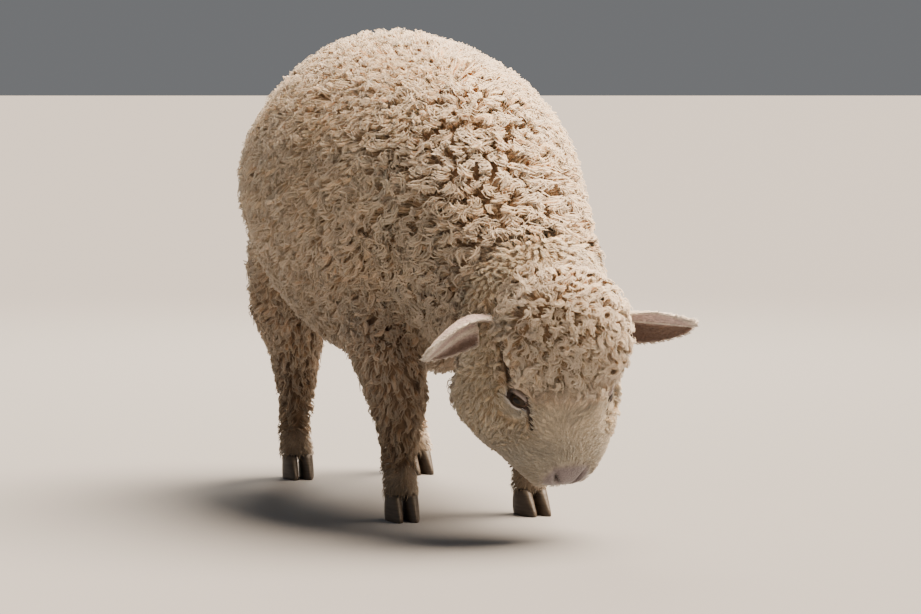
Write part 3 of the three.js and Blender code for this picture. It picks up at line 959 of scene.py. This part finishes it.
def lie(points, outward, short):
    """The way the coat lies: down and a little back, round the crown, and on the face up from the nose."""
    head = to_head(points)
    side = np.sign(head[:, 0])
    down_body = np.column_stack([points[:, 0] * 2.2, np.full(len(points), 0.35), np.full(len(points), -1.0)])
    crown = np.column_stack([head[:, 0] * 12, (head[:, 1] + 0.03) * 8 - 0.6, np.zeros(len(points))])
    cheek = np.column_stack([side * 0.1, np.full(len(points), -0.8), np.full(len(points), -0.45)])
    face = np.column_stack([head[:, 0] * 6, np.full(len(points), 0.8), np.full(len(points), -0.5)])
    on_crown = zone_share(points, "crown")[:, None]
    on_head = zone_share(points, "crown", "cheek")[:, None]
    way = crown * on_crown + cheek * (1 - on_crown)
    way = way * (1 - short) + face * short
    way = down_body * (1 - on_head) + (way @ np.array(HEAD_TURN).T) * on_head
    way = way + np.cross(outward, way) * (SWIRL * ripple(points, SWIRL_SIZE, 11))[:, None]
    return unit(way - outward * (way * outward).sum(1, keepdims=True))


def staples(skin, share, seed, fullness=1.0):
    """The curled staples of a stretch of coat. share gives how much of the coat is in it at each point."""
    def density(points, on_ear):
        return share(points) * ~on_ear * fullness / traits_at(points)["staple"] ** 2 * CANDIDATES

    made = scatter(skin, density, seed)
    gaps = SPREAD * traits_at(made["point"])["staple"] / fullness ** 0.5
    chosen = apart(made["point"], gaps, seed)
    made = {key: value[chosen] for key, value in made.items()}
    rng = np.random.default_rng(seed + 1)
    count = len(made["point"])
    made.update(traits_at(made["point"]))
    made["short"] = short_hair(made["point"])
    for trait in ("length", "width", "curl"):
        made[trait] = made[trait] * (1 - SHORTER * made["short"])
    made["way"] = lie(made["point"], made["outward"], made["short"][:, None])
    turn = rng.normal(0, LEAN, count)[:, None]
    across = np.cross(made["outward"], made["way"])
    made["way"] = unit(made["way"] * np.cos(turn) + across * np.sin(turn))
    made["across"] = np.cross(made["outward"], made["way"])
    made["phase"] = rng.uniform(0, 2 * np.pi, count)
    made["hand"] = np.where(rng.random(count) < 0.5, -1, 1)
    made["tall"] = rng.uniform(0.80, 1.08, count)
    made["big"] = rng.uniform(0.8, 1.25, count)
    made["tint"] = rng.random(count)
    return made


def staple_axis(made, which, reach):
    """Points along the curled axes of staples: for each of which, at each share of its length in reach."""
    take = {key: value[which] for key, value in made.items()}
    height = (take["depth"] * take["lift"] * take["tall"])[:, None]
    length = (take["length"] * take["big"])[:, None]
    run = np.sqrt(np.maximum(length ** 2 - height ** 2, 0.35 * length ** 2))
    rise = np.sin(np.pi / 2 * np.minimum(1, 1.5 * reach)) * (1 - 0.22 * smooth(0.6, 1.0, reach))
    turn = take["phase"][:, None] + 2 * np.pi * take["turns"][:, None] * take["hand"][:, None] * reach
    radius = (take["curl"] * take["big"])[:, None] * smooth(0.0, 0.55, reach)
    outward, way, across = (take[key][:, None, :] for key in ("outward", "way", "across"))
    path = take["point"][:, None, :] + outward * (height * rise)[..., None]
    path = path + way * (run * reach ** 1.1)[..., None]
    in_plane = take["open"][:, None, None]
    upright = outward * (1 - in_plane) + way * in_plane
    curl = across * np.cos(turn)[..., None] + upright * np.sin(turn)[..., None]
    return path + curl * radius[..., None]


def ring_places(rings):
    """Where the rings of a strand are along it: evenly, but for a short rounded tip."""
    return np.append(np.linspace(0, 0.92, rings - 1), 1.0)


def strand_paths(made, roots, which, rings, seed):
    """Strands that grow from roots of their own and curl with the staple they belong to."""
    rng = np.random.default_rng(seed)
    count = len(which)
    ends = rng.uniform(0.72, 1.1, count)[:, None]
    reach = ring_places(rings)[None, :] * ends
    axis = staple_axis(made, which, reach)
    offset = roots["point"] - made["point"][which]
    gather = (made["gather"][which] * rng.uniform(0.7, 1.15, count))[:, None]
    path = axis + offset[:, None, :] * (1 - gather * np.clip(reach, 0, 1) ** 0.8)[..., None]
    stray = rng.normal(0, 1, (count, 1, 3)) * made["curl"][which][:, None, None] * STRAY
    path += stray * (reach ** 1.3)[..., None]
    wobble = rng.uniform(0, 2 * np.pi, count)[:, None] + reach * WOBBLE_TURN
    amount = made["curl"][which][:, None] * WOBBLE * reach
    return path + made["across"][which][:, None, :] * (np.sin(wobble) * amount)[..., None]


def strand_faces(rings, sides):
    """The faces of one closed strand: their corners, where those are on its own map, and the faces' sizes.

    Each ring has that many corners, and the last ring is a single point.
    """
    k = np.arange(sides)
    after = (k + 1) % sides
    level = np.arange(rings - 2)[:, None] * sides
    quads = np.stack([level + k, level + after, level + sides + after, level + sides + k], -1).reshape(-1, 4)
    top = (rings - 2) * sides
    tips = np.stack([top + k, top + after, np.full(sides, top + sides)], -1)
    around = np.stack([k, k + 1, k + 1, k], -1) / sides
    quad_map = np.stack([np.tile(around, (rings - 2, 1)), quads // sides / (rings - 1)], -1)
    tip_rows = [(rings - 2) / (rings - 1)] * 2 + [1.0]
    tip_map = np.stack([np.stack([k, k + 1, k + 0.5], -1) / sides, np.tile(tip_rows, (sides, 1))], -1)
    root_map = np.stack([k[::-1] / sides, np.zeros(sides)], -1)
    loops = np.concatenate([quads.ravel(), tips.ravel(), k[::-1]])
    places = np.concatenate([quad_map.reshape(-1, 2), tip_map.reshape(-1, 2), root_map])
    return loops, places, np.concatenate([np.full(len(quads), 4), np.full(sides, 3), [sides]])


def wool_mesh(name, wool, softness):
    """A mesh of strands, each closed round its path.

    wool holds, for each strand, its path, its width at each ring, where it is on the skin's map (flat), its
    tint, its marking, and the way out of the skin (outward). softness is how far it is lit as the coat around
    it, and not as a round cord. Its "Coat" colour holds how far along it a corner is, and its tint.
    """
    paths, outward = wool["path"], wool["outward"]
    count, rings, _ = paths.shape
    tangent = unit(np.gradient(paths, axis=1))
    side = unit(np.cross(tangent, outward[:, None, :]))
    up = np.cross(tangent, side)
    angle = np.arange(STRAND_SIDES) / STRAND_SIDES * 2 * np.pi
    ring = side[:, :, None] * np.cos(angle)[:, None] + up[:, :, None] * np.sin(angle)[:, None] * FLATNESS
    body = (paths[:, :, None] + ring * wool["width"][:, :, None, None] / 2)[:, :-1]
    points = np.concatenate([body.reshape(count, -1, 3), paths[:, -1:]], axis=1)
    per = points.shape[1]
    one, places, sizes = strand_faces(rings, STRAND_SIDES)
    loops = (one[None, :] + np.arange(count)[:, None] * per).ravel()
    starts = np.concatenate([[0], np.cumsum(np.tile(sizes, count))[:-1]])
    mesh = bpy.data.meshes.new(name)
    mesh.vertices.add(count * per)
    mesh.vertices.foreach_set("co", points.astype(np.float32).ravel())
    mesh.loops.add(len(loops))
    mesh.loops.foreach_set("vertex_index", loops.astype(np.int32))
    mesh.polygons.add(len(starts))
    mesh.polygons.foreach_set("loop_start", starts.astype(np.int32))
    mesh.update(calc_edges=True)
    spot = wool["flat"][:, None, :] + (places[None] - 0.5) * PATCH
    for label, spread in (("OFBake", spot), ("Strand", np.tile(places, (count, 1)))):
        layer = mesh.uv_layers.new(name=label)
        layer.data.foreach_set("uv", spread.astype(np.float32).ravel())
    coat = np.zeros((count, per, 3))
    coat[:, :, 0] = np.append(np.repeat(ring_places(rings)[:-1], STRAND_SIDES), 1.0)
    coat[:, :, 1] = wool["tint"][:, None]
    paint(mesh, "Coat", coat.reshape(-1, 3))
    paint(mesh, "Marking", np.repeat(wool["marking"], per, axis=0))
    round_way = np.concatenate([ring[:, :-1].reshape(count, -1, 3), tangent[:, -1:]], axis=1)
    facing = unit(round_way * (1 - softness) + outward[:, None, :] * softness)
    mesh.normals_split_custom_set_from_vertices(facing.reshape(-1, 3))
    piece = bpy.data.objects.new(name, mesh)
    bpy.context.scene.collection.objects.link(piece)
    return piece


def triangles_each(rings, sides):
    """The triangles of one strand."""
    return (rings - 2) * sides * 2 + sides + sides - 2


def covering(paths):
    """Which strands would lie over the opening of an eye, or over a crease beside it."""
    points = paths.reshape(-1, 3)
    over = from_creases(points) < CLEAR_CREASE
    for hand in SIDES:
        looks, corner, brow = (np.array(axis) for axis in eye_axes(hand))
        away = points - np.array(EYES[hand])
        reach = np.hypot(away @ corner / CLEAR_LENGTH, (away @ brow - CLEAR_UP) / CLEAR_HEIGHT)
        over |= (reach < 1) & (away @ looks > 0)
    return over.reshape(paths.shape[:2]).any(axis=1)


def make_wool(name, wool, softness, material):
    """Makes strands into pieces under the triangle limit, by where along the animal their roots are."""
    free = np.flatnonzero(~covering(wool["path"]))
    number = math.ceil(len(free) * triangles_each(wool["path"].shape[1], STRAND_SIDES) / MOST_TRIANGLES)
    order = free[np.argsort(wool["point"][free, 1], kind="stable")]
    for i, chosen in enumerate(np.array_split(order, number)):
        label = f"{name}_{i + 1}" if number > 1 else name
        piece = wool_mesh(label, {key: value[chosen] for key, value in wool.items()}, softness)
        keep(piece, material)


def widths(widest, shape, rings):
    """The width of each strand at each ring. shape gives its share of the widest along it."""
    steps, shares = zip(*shape)
    return widest[:, None] * np.interp(ring_places(rings), steps, shares)


def woolly(points):
    """1 where the coat is wool, and 0 where it is short hair or a crease."""
    open_skin = np.ones(len(points))
    for hand in SIDES:
        for line, edge in zip(creases(hand), WOOL_EDGES):
            open_skin *= smooth(*edge, from_crease(points, line, hand))
    return smooth(0.75, 0.35, short_hair(points)) * open_skin


STRETCHES = {
    # name: its zones, rings of a strand and of a core, width of a core in spacings, slot
    "body": (("flank", "back"), 6, 5, 0.75, "fleece"),
    "neck": (("neck",), 8, 7, 0.88, "fleece"),
    "crown": (("crown",), 10, 8, 0.8, "face_wool"),
    "cheek": (("cheek",), 5, 4, 0.85, "face_wool"),
    "legs": (("leg",), 5, 4, 0.80, "fleece"),
}


def grow(skin, name, seed, materials, fullness):
    """Grows one stretch of coat: a thick core for each staple, and finer strands around it."""
    zones, rings, core_rings, thickness, slot = STRETCHES[name]

    def share(points):
        return zone_share(points, *zones) * woolly(points)

    made = staples(skin, share, seed, fullness)
    count = len(made["point"])
    rng = np.random.default_rng(seed + 2)
    reach = ring_places(core_rings)[None, :] * rng.uniform(*CORE_REACH, count)[:, None]
    thick = thickness * made["big"] * (1 - 0.5 * made["short"])
    cores = {
        "path": staple_axis(dict(made, lift=made["lift"] * CORE_LIFT), np.arange(count), reach),
        "width": widths(made["staple"] * thick, CORE_SHAPE, core_rings),
        "point": made["point"],
        "outward": made["outward"],
        "flat": made["flat"],
        "marking": markings(made["point"]),
        "tint": made["tint"],
    }
    make_wool(f"wool_{name}_staples", cores, CORE_SOFTNESS, materials[0])

    def density(points, on_ear):
        traits = traits_at(points)
        return share(points) * ~on_ear * fullness * traits["strands"] / traits["staple"] ** 2

    roots = scatter(skin, density, seed + 3)
    tree = tree_of(made["point"])
    which = np.array([tree.find(point)[1] for point in roots["point"]])
    number = len(which)
    strands = {
        "path": strand_paths(made, roots, which, rings, seed + 4),
        "width": widths(made["width"][which] * rng.uniform(0.7, 1.25, number), STRAND_SHAPE, rings),
        "point": roots["point"],
        "outward": made["outward"][which],
        "flat": roots["flat"],
        "marking": markings(roots["point"]),
        "tint": 0.5 * made["tint"][which] + 0.5 * rng.random(number),
    }
    make_wool(f"wool_{name}_strands", strands, STRAND_SOFTNESS, materials[1])


HAIR_LENGTH = (0.0055, 0.0105)
HAIR_WIDTH = (0.0010, 0.0018)
HAIR_SHAPE = np.array([1.0, 0.85, 0.0])  # its width at each ring
HAIR_RISE = 0.34  # as a share of its length
EAR_HAIR_LOWER = 0.12  # less, on the ears
HAIR_SUNK = 0.0004
HAIR_SOFTNESS = 0.7
HAIR_FROM_EYE = 0.0165
HAIR_FROM_CREASE = 0.0028
CREASE_HAIR = (0.0095, 0.0060)  # where the hair beside a crease starts, and where it is full


def grow_short_hair(skin, seed, spacing, material):
    """Small close tufts on the face, the ears and the feet."""
    def density(points, on_ear):
        spots = np.maximum(smooth(0.05, 0.35, short_hair(points)), on_ear * 1.5) * (1 - nose_share(points))
        lines = from_creases(points)
        spots = np.maximum(spots, 1.3 * smooth(*CREASE_HAIR, lines))
        free = (from_eyes(points) > HAIR_FROM_EYE) & (lines > HAIR_FROM_CREASE)
        return spots * (free | on_ear) / spacing ** 2

    roots = scatter(skin, density, seed)
    rng = np.random.default_rng(seed + 1)
    points, outward, ear = roots["point"], roots["outward"], roots["ear"]
    count = len(points)
    on_ear = ear[:, 0] > 0.5
    way = lie(points, outward, np.ones((count, 1)))
    for hand, side in SIDES.items():
        here = on_ear & (to_head(points)[:, 0] * side > 0)
        root, tip = ear_line(hand)
        along = unit((tip - root)[None, :])
        off = points[here] - root
        off = unit(off - along * (off @ along[0])[:, None])
        way[here] = unit(along + off * (0.7 * ear[here, 1:2]))
    way = unit(way - outward * (0.8 * (way * outward).sum(1))[:, None])
    sideways = np.cross(outward, way)
    turn = rng.normal(0, 0.3, count)[:, None]
    way = way * np.cos(turn) + sideways * np.sin(turn)
    longer = 1 + 0.7 * smooth(0.06, 0.04, points[:, 2]) - on_ear * (0.55 - 0.25 * ear[:, 1])
    length = (rng.uniform(*HAIR_LENGTH, count) * longer)[:, None, None]
    reach = np.linspace(0, 1, len(HAIR_SHAPE))[None, :, None]
    rise = (HAIR_RISE - EAR_HAIR_LOWER * on_ear)[:, None, None] * np.sin(reach * 2.2)
    paths = points[:, None, :] + (way[:, None, :] * reach + outward[:, None, :] * rise) * length
    hair = {
        "path": paths - outward[:, None, :] * HAIR_SUNK,
        "width": rng.uniform(*HAIR_WIDTH, count)[:, None] * HAIR_SHAPE,
        "outward": outward,
        "flat": roots["flat"],
        "marking": np.where(on_ear[:, None], ear_colours(ear), markings(points)),
        "tint": rng.random(count),
    }
    keep(wool_mesh("short_hair", hair, HAIR_SOFTNESS), material)


# ---- Eyes and hooves -----------------------------------------------------------------------------------

IRIS_EDGE = (0.0095, 0.0112)  # forward of the middle of the eyeball
IRIS_COLOURS = ((0.018, 0.010, 0.005, 1), (0.045, 0.026, 0.012, 1))
EYEBALL_COLOUR = (0.012, 0.009, 0.008, 1)
PUPIL_COLOUR = (0.002, 0.002, 0.003, 1)
PUPIL_SIZE = (0.0052, 0.0026)  # half along the opening, and half across it
CORNEA_HEIGHT = 0.0009
CORNEA_EDGE = (0.0085, 0.0125)  # forward of the middle of the eyeball
HORN_COLOURS = ((0.028, 0.021, 0.016, 1), (0.11, 0.085, 0.062, 1))
SOLE_CREASE = 0.85  # how sharp the edge of a sole stays


def eye_material(hand):
    """A dark wet eye: a brown iris with a long level pupil."""
    material, tree, principled = new_material(
        f"Eye {hand}", Roughness=0.3, Coat_Weight=0.25, Coat_Roughness=0.03, Specular_IOR_Level=0.1)
    place = node(tree, "ShaderNodeTexCoord").outputs["Object"]
    centre = tuple(EYES[hand])
    off = node(tree, "ShaderNodeVectorMath", {0: place, 1: centre}, operation="SUBTRACT").outputs[0]
    forward, along, up = (
        node(tree, "ShaderNodeVectorMath", {0: off, 1: tuple(axis)}, operation="DOT_PRODUCT").outputs[1]
        for axis in eye_axes(hand))
    iris = node(tree, "ShaderNodeMapRange", {0: forward, 1: IRIS_EDGE[0], 2: IRIS_EDGE[1]}).outputs[0]
    wide = maths(tree, "POWER", maths(tree, "DIVIDE", along, PUPIL_SIZE[0]), 2.0)
    tall = maths(tree, "POWER", maths(tree, "DIVIDE", up, PUPIL_SIZE[1]), 2.0)
    reach = maths(tree, "ADD", wide, tall)
    pupil = node(tree, "ShaderNodeMapRange", {0: reach, 1: 1.25, 2: 0.8}).outputs[0]
    rays = node(tree, "ShaderNodeTexNoise", {"Vector": place, "Scale": 900.0}).outputs[0]
    brown = mix(tree, "MIX", rays, *IRIS_COLOURS)
    colour = mix(tree, "MIX", iris, EYEBALL_COLOUR, brown)
    colour = mix(tree, "MIX", pupil, colour, PUPIL_COLOUR)
    tree.links.new(colour, principled.inputs["Base Color"])
    return material


def build_eye(hand):
    """An eyeball whose cornea stands out a little."""
    looks = eye_axes(hand)[0]
    turn = looks.to_track_quat("Z", "Y").to_euler()
    bpy.ops.mesh.primitive_uv_sphere_add(
        segments=48, ring_count=32, radius=EYE_RADIUS, location=EYES[hand], rotation=turn)
    eye = bpy.context.object
    eye.name = eye.data.name = "eyeball_" + hand
    bpy.ops.object.transform_apply(location=True, rotation=True, scale=True)
    points = corners(eye.data)
    forward = (points - np.array(EYES[hand])) @ np.array(looks)
    bulge = CORNEA_HEIGHT * smooth(*CORNEA_EDGE, forward)
    move_corners(eye.data, points + np.array(looks) * bulge[:, None])
    bpy.ops.object.shade_smooth()
    keep(eye, eye_material(hand))
    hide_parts("eye_" + hand)


def horn_material():
    """Dark horn, with fine rings of growth."""
    material, tree, principled = new_material("Hoof horn", Roughness=0.55, Specular_IOR_Level=0.4)
    place = node(tree, "ShaderNodeTexCoord").outputs["Object"]
    rings = node(tree, "ShaderNodeMapping", {0: place, 3: (30.0, 30.0, 420.0)}).outputs[0]
    growth = node(tree, "ShaderNodeTexNoise", {"Vector": rings, "Scale": 1.0, "Detail": 3.0}).outputs[0]
    tree.links.new(mix(tree, "MIX", growth, *HORN_COLOURS), principled.inputs["Base Color"])
    bump = node(tree, "ShaderNodeBump", {"Strength": 0.5, "Distance": 0.001, "Height": growth})
    tree.links.new(bump.outputs[0], principled.inputs["Normal"])
    return material


def build_hoof(claw, material):
    """One claw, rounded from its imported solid, with a sharp edge left round its sole."""
    hoof = copy_of("hoof_" + claw, "claw_" + claw)
    mesh = hoof.data
    sharp = mesh.attributes.new("crease_edge", "FLOAT", "EDGE")
    low = corners(mesh)[:, 2] < 0.0005
    for edge in mesh.edges:
        sharp.data[edge.index].value = SOLE_CREASE * low[list(edge.vertices)].all()
    modified(hoof, "SUBSURF", levels=2, render_levels=2)
    bpy.ops.object.shade_smooth_by_angle(angle=math.radians(50))
    keep(hoof, material)
    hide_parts("hoof_" + claw)


# ---- Stage ---------------------------------------------------------------------------------------------

VIEW_AZIMUTH = -18.5  # degrees round the animal, from looking at its front
VIEW_DISTANCE = 4.38
VIEW_HEIGHT = 0.565
VIEW_PITCH = 3.987  # degrees that the camera looks down
VIEW_SWING = 0.615  # degrees that the camera is turned away from the animal's middle
VIEW_START_Y = 0.0295  # the distance is measured from here
LENS = 129  # millimetres, on a sensor 36 wide


def build_camera():
    """The camera, from in front of the animal's right shoulder."""
    azimuth, pitch, swing = (math.radians(value) for value in (VIEW_AZIMUTH, VIEW_PITCH, VIEW_SWING))
    ahead = Vector((-math.sin(azimuth), math.cos(azimuth), 0))
    right = Vector((math.cos(azimuth), math.sin(azimuth), 0))
    place_y = VIEW_START_Y - math.cos(azimuth) * VIEW_DISTANCE
    place = (math.sin(azimuth) * VIEW_DISTANCE, place_y, VIEW_HEIGHT)
    level = (ahead * math.cos(swing) + right * math.sin(swing)) * math.cos(pitch)
    look = level - Vector((0, 0, math.sin(pitch)))
    bpy.ops.object.camera_add(location=place, rotation=look.to_track_quat("-Z", "Y").to_euler())
    camera = bpy.context.object
    camera.data.lens = LENS
    camera.data.sensor_width = 36
    camera.data.clip_end = 100
    bpy.context.scene.camera = camera


def build_light(name, place, aim, size, power, colour):
    """A round soft light that faces its aim."""
    way = Vector(aim) - Vector(place)
    bpy.ops.object.light_add(type="AREA", location=place, rotation=way.to_track_quat("-Z", "Y").to_euler())
    light = bpy.context.object
    light.name = name
    light.data.shape = "DISK"
    light.data.size = size
    light.data.energy = power
    light.data.color = colour


LIGHTS = {
    # name: place, aim, size, power, colour
    "rim": ((0.9, 2.8, 2.2), (0, 0, 0.4), 1.2, 110, (1.0, 0.86, 0.70)),
    "fill": ((-3.4, -0.9, 1.8), (0, -0.1, 0.35), 1.3, 7, (1.0, 0.97, 0.92)),
}
SUN_FROM = (1.75, 0.3, 3.0)  # the way to it
SUN_POWER = 20.0
SUN_SOFTNESS = 48  # degrees across
SUN_COLOUR = (1.0, 0.79, 0.59)
SKY_COLOUR = (0.80, 0.82, 0.85, 1)
SKY_STRENGTH = 0.21
FLOOR_COLOUR = (0.24, 0.245, 0.255, 1)


def build_stage():
    """The floor, the lights and the sky."""
    bpy.ops.mesh.primitive_plane_add(size=400, location=(0, 0, 0))
    floor = bpy.context.object
    floor.name = floor.data.name = "floor"
    material, _, _ = new_material("Studio floor", Base_Color=FLOOR_COLOUR, Roughness=0.95)
    floor.data.materials.append(material)
    for name, settings in LIGHTS.items():
        build_light(name, *settings)
    bpy.ops.object.light_add(type="SUN", rotation=Vector(SUN_FROM).to_track_quat("Z", "Y").to_euler())
    sun = bpy.context.object
    sun.name = "key"
    sun.data.energy = SUN_POWER
    sun.data.angle = math.radians(SUN_SOFTNESS)
    sun.data.color = SUN_COLOUR
    world = bpy.context.scene.world or bpy.data.worlds.new("World")
    bpy.context.scene.world = world
    world.use_nodes = True
    sky = world.node_tree.nodes["Background"]
    sky.inputs["Color"].default_value = SKY_COLOUR
    sky.inputs["Strength"].default_value = SKY_STRENGTH


# ---- Add-on --------------------------------------------------------------------------------------------

def colour_of(label, about, default):
    """A colour that a user may change."""
    return bpy.props.FloatVectorProperty(
        name=label, description=about, default=default, subtype="COLOR", size=3, min=0, max=1)


class SheepColours(bpy.types.PropertyGroup):
    """The colours of the coat and skin."""
    cream: colour_of("Cream", "Lit tips of the fleece", (0.93, 0.73, 0.53))
    warm: colour_of("Warm", "Yellower patches of the fleece", (0.87, 0.64, 0.43))
    # painted shade on the fleece low on the body
    low_shade: colour_of("Greyed", "Fleece low on the body", (0.355, 0.28, 0.22))
    # the legs' own darker colour, deepened with painted shade
    sock: colour_of("Sock", "Wool on the legs", (0.26, 0.195, 0.135))
    pale: colour_of("Pale", "Wool on the head", (0.63, 0.53, 0.385))
    muzzle: colour_of("Muzzle", "Short hair near the nose", (0.425, 0.375, 0.295))
    leather: colour_of("Leather", "Bare nose", (0.20, 0.165, 0.17))
    lid: colour_of("Lid", "Bare skin under the eyes", (0.60, 0.56, 0.53))
    brow: colour_of("Brow", "Short hair over the eyes", (0.47, 0.39, 0.36))
    # painted shade in folds, tear grooves, nostrils and along the lids' edges
    crease: colour_of("Crease", "Folds and tear grooves", (0.05, 0.033, 0.027))
    ear_back: colour_of("Ear back", "Outside of the ears", (0.56, 0.42, 0.395))
    ear_rim: colour_of("Ear rim", "Pale hair on the edge of the ears", (0.82, 0.72, 0.60))
    # painted shade in the ears' hollows
    ear_hollow_shade: colour_of("Ear hollow", "Inside of the ears", (0.19, 0.13, 0.105))


def shade(name):
    """One of the chosen colours."""
    return np.array(getattr(bpy.context.scene.sheep_colours, name))


class SheepSizes(bpy.types.PropertyGroup):
    """The sizes that a user would change."""
    voxel: bpy.props.FloatProperty(
        name="Skin grain", description="Size of the skin's faces", default=0.0052, unit="LENGTH")
    fullness: bpy.props.FloatProperty(
        name="Fullness", description="How many staples grow, against the usual number", default=1.0)
    hair_spacing: bpy.props.FloatProperty(
        name="Short hair spacing", description="From one short tuft to the next", default=0.0029,
        unit="LENGTH")


def need(name):
    """A piece that must already be there."""
    piece = bpy.data.objects.get(name)
    if piece is None:
        raise RuntimeError(f"build {name} first")
    return piece


class SHEEP_OT_skin(bpy.types.Operator):
    """Build the skin of the whole animal"""
    bl_idname = "sheep.skin"
    bl_label = "Skin"

    def execute(self, context):
        deselect()
        skin = build_skin(context.scene.sheep_sizes.voxel)
        lids = [build_lids(hand, skin) for hand in SIDES]
        skin = joined([skin, *lids], "skin")
        paint(skin.data, "Ear", np.zeros((len(skin.data.vertices), 3)))
        skin = joined([skin, *build_ears()], "skin")
        unwrap(skin, "OFBake")
        finish_skin(skin)
        bpy.ops.object.shade_smooth()
        keep(skin, skin_material())
        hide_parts(*FLESH, *["ear_" + hand for hand in SIDES])
        return {"FINISHED"}


class SHEEP_OT_wool(bpy.types.Operator):
    """Grow the wool of the body, neck, crown, cheeks and legs"""
    bl_idname = "sheep.wool"
    bl_label = "Wool"

    def execute(self, context):
        skin = need("skin")
        group = wool_group()
        materials = {
            "fleece": (wool_material("Fleece staples", group, root_shade=0.75, fibre=0.7, fibres=18.0),
                       wool_material("Fleece strands", group, root_shade=0.55, fibre=0.5, fibres=6.0)),
            "face_wool": (wool_material("Head staples", group, root_shade=0.5, fibre=0.6, fibres=14.0),
                          wool_material("Head strands", group, root_shade=0.4, fibre=0.45, fibres=5.0)),
        }
        for i, name in enumerate(STRETCHES):
            slot = STRETCHES[name][-1]
            grow(skin, name, 100 * (i + 1), materials[slot], context.scene.sheep_sizes.fullness)
        return {"FINISHED"}


class SHEEP_OT_short_hair(bpy.types.Operator):
    """Grow the short hair of the face, ears and feet"""
    bl_idname = "sheep.short_hair"
    bl_label = "Short hair"

    def execute(self, context):
        group = bpy.data.node_groups.get("Wool strand") or wool_group()
        material = wool_material("Short hair", group, root_shade=0.2, fibre=0.1, fibres=3.0)
        grow_short_hair(need("skin"), 900, context.scene.sheep_sizes.hair_spacing, material)
        return {"FINISHED"}


class SHEEP_OT_eyes(bpy.types.Operator):
    """Set in the two eyes"""
    bl_idname = "sheep.eyes"
    bl_label = "Eyes"

    def execute(self, context):
        for hand in SIDES:
            deselect()
            build_eye(hand)
        return {"FINISHED"}


class SHEEP_OT_hooves(bpy.types.Operator):
    """Round off the eight claws"""
    bl_idname = "sheep.hooves"
    bl_label = "Hooves"

    def execute(self, context):
        material = horn_material()
        for claw in CLAWS:
            build_hoof(claw, material)
        return {"FINISHED"}


class SHEEP_OT_stage(bpy.types.Operator):
    """Set up the floor, the lights and the camera"""
    bl_idname = "sheep.stage"
    bl_label = "Stage"

    def execute(self, context):
        deselect()
        build_camera()
        build_stage()
        return {"FINISHED"}


OPERATORS = (
    SHEEP_OT_stage, SHEEP_OT_skin, SHEEP_OT_eyes, SHEEP_OT_hooves, SHEEP_OT_wool, SHEEP_OT_short_hair)


class SHEEP_PT_panel(bpy.types.Panel):
    """The sheep's tab in the sidebar"""
    bl_label = "Grazing sheep"
    bl_idname = "SHEEP_PT_panel"
    bl_space_type = "VIEW_3D"
    bl_region_type = "UI"
    bl_category = "Sheep"

    def draw(self, context):
        for group in (context.scene.sheep_sizes, context.scene.sheep_colours):
            for key in group.__annotations__:
                self.layout.prop(group, key)
        for operator in OPERATORS:
            self.layout.operator(operator.bl_idname)


CLASSES = (SheepColours, SheepSizes, *OPERATORS, SHEEP_PT_panel)


def register():
    """Adds the classes and the sheep's sizes and colours to the scene."""
    for each in CLASSES:
        bpy.utils.register_class(each)
    bpy.types.Scene.sheep_sizes = bpy.props.PointerProperty(type=SheepSizes)
    bpy.types.Scene.sheep_colours = bpy.props.PointerProperty(type=SheepColours)


def unregister():
    """Takes them away again."""
    del bpy.types.Scene.sheep_colours
    del bpy.types.Scene.sheep_sizes
    for each in reversed(CLASSES):
        bpy.utils.unregister_class(each)


def main():
    """Builds the whole sheep."""
    register()
    for operator in OPERATORS:
        group, name = operator.bl_idname.split(".")
        getattr(getattr(bpy.ops, group), name)()


if __name__ == "__main__":
    main()
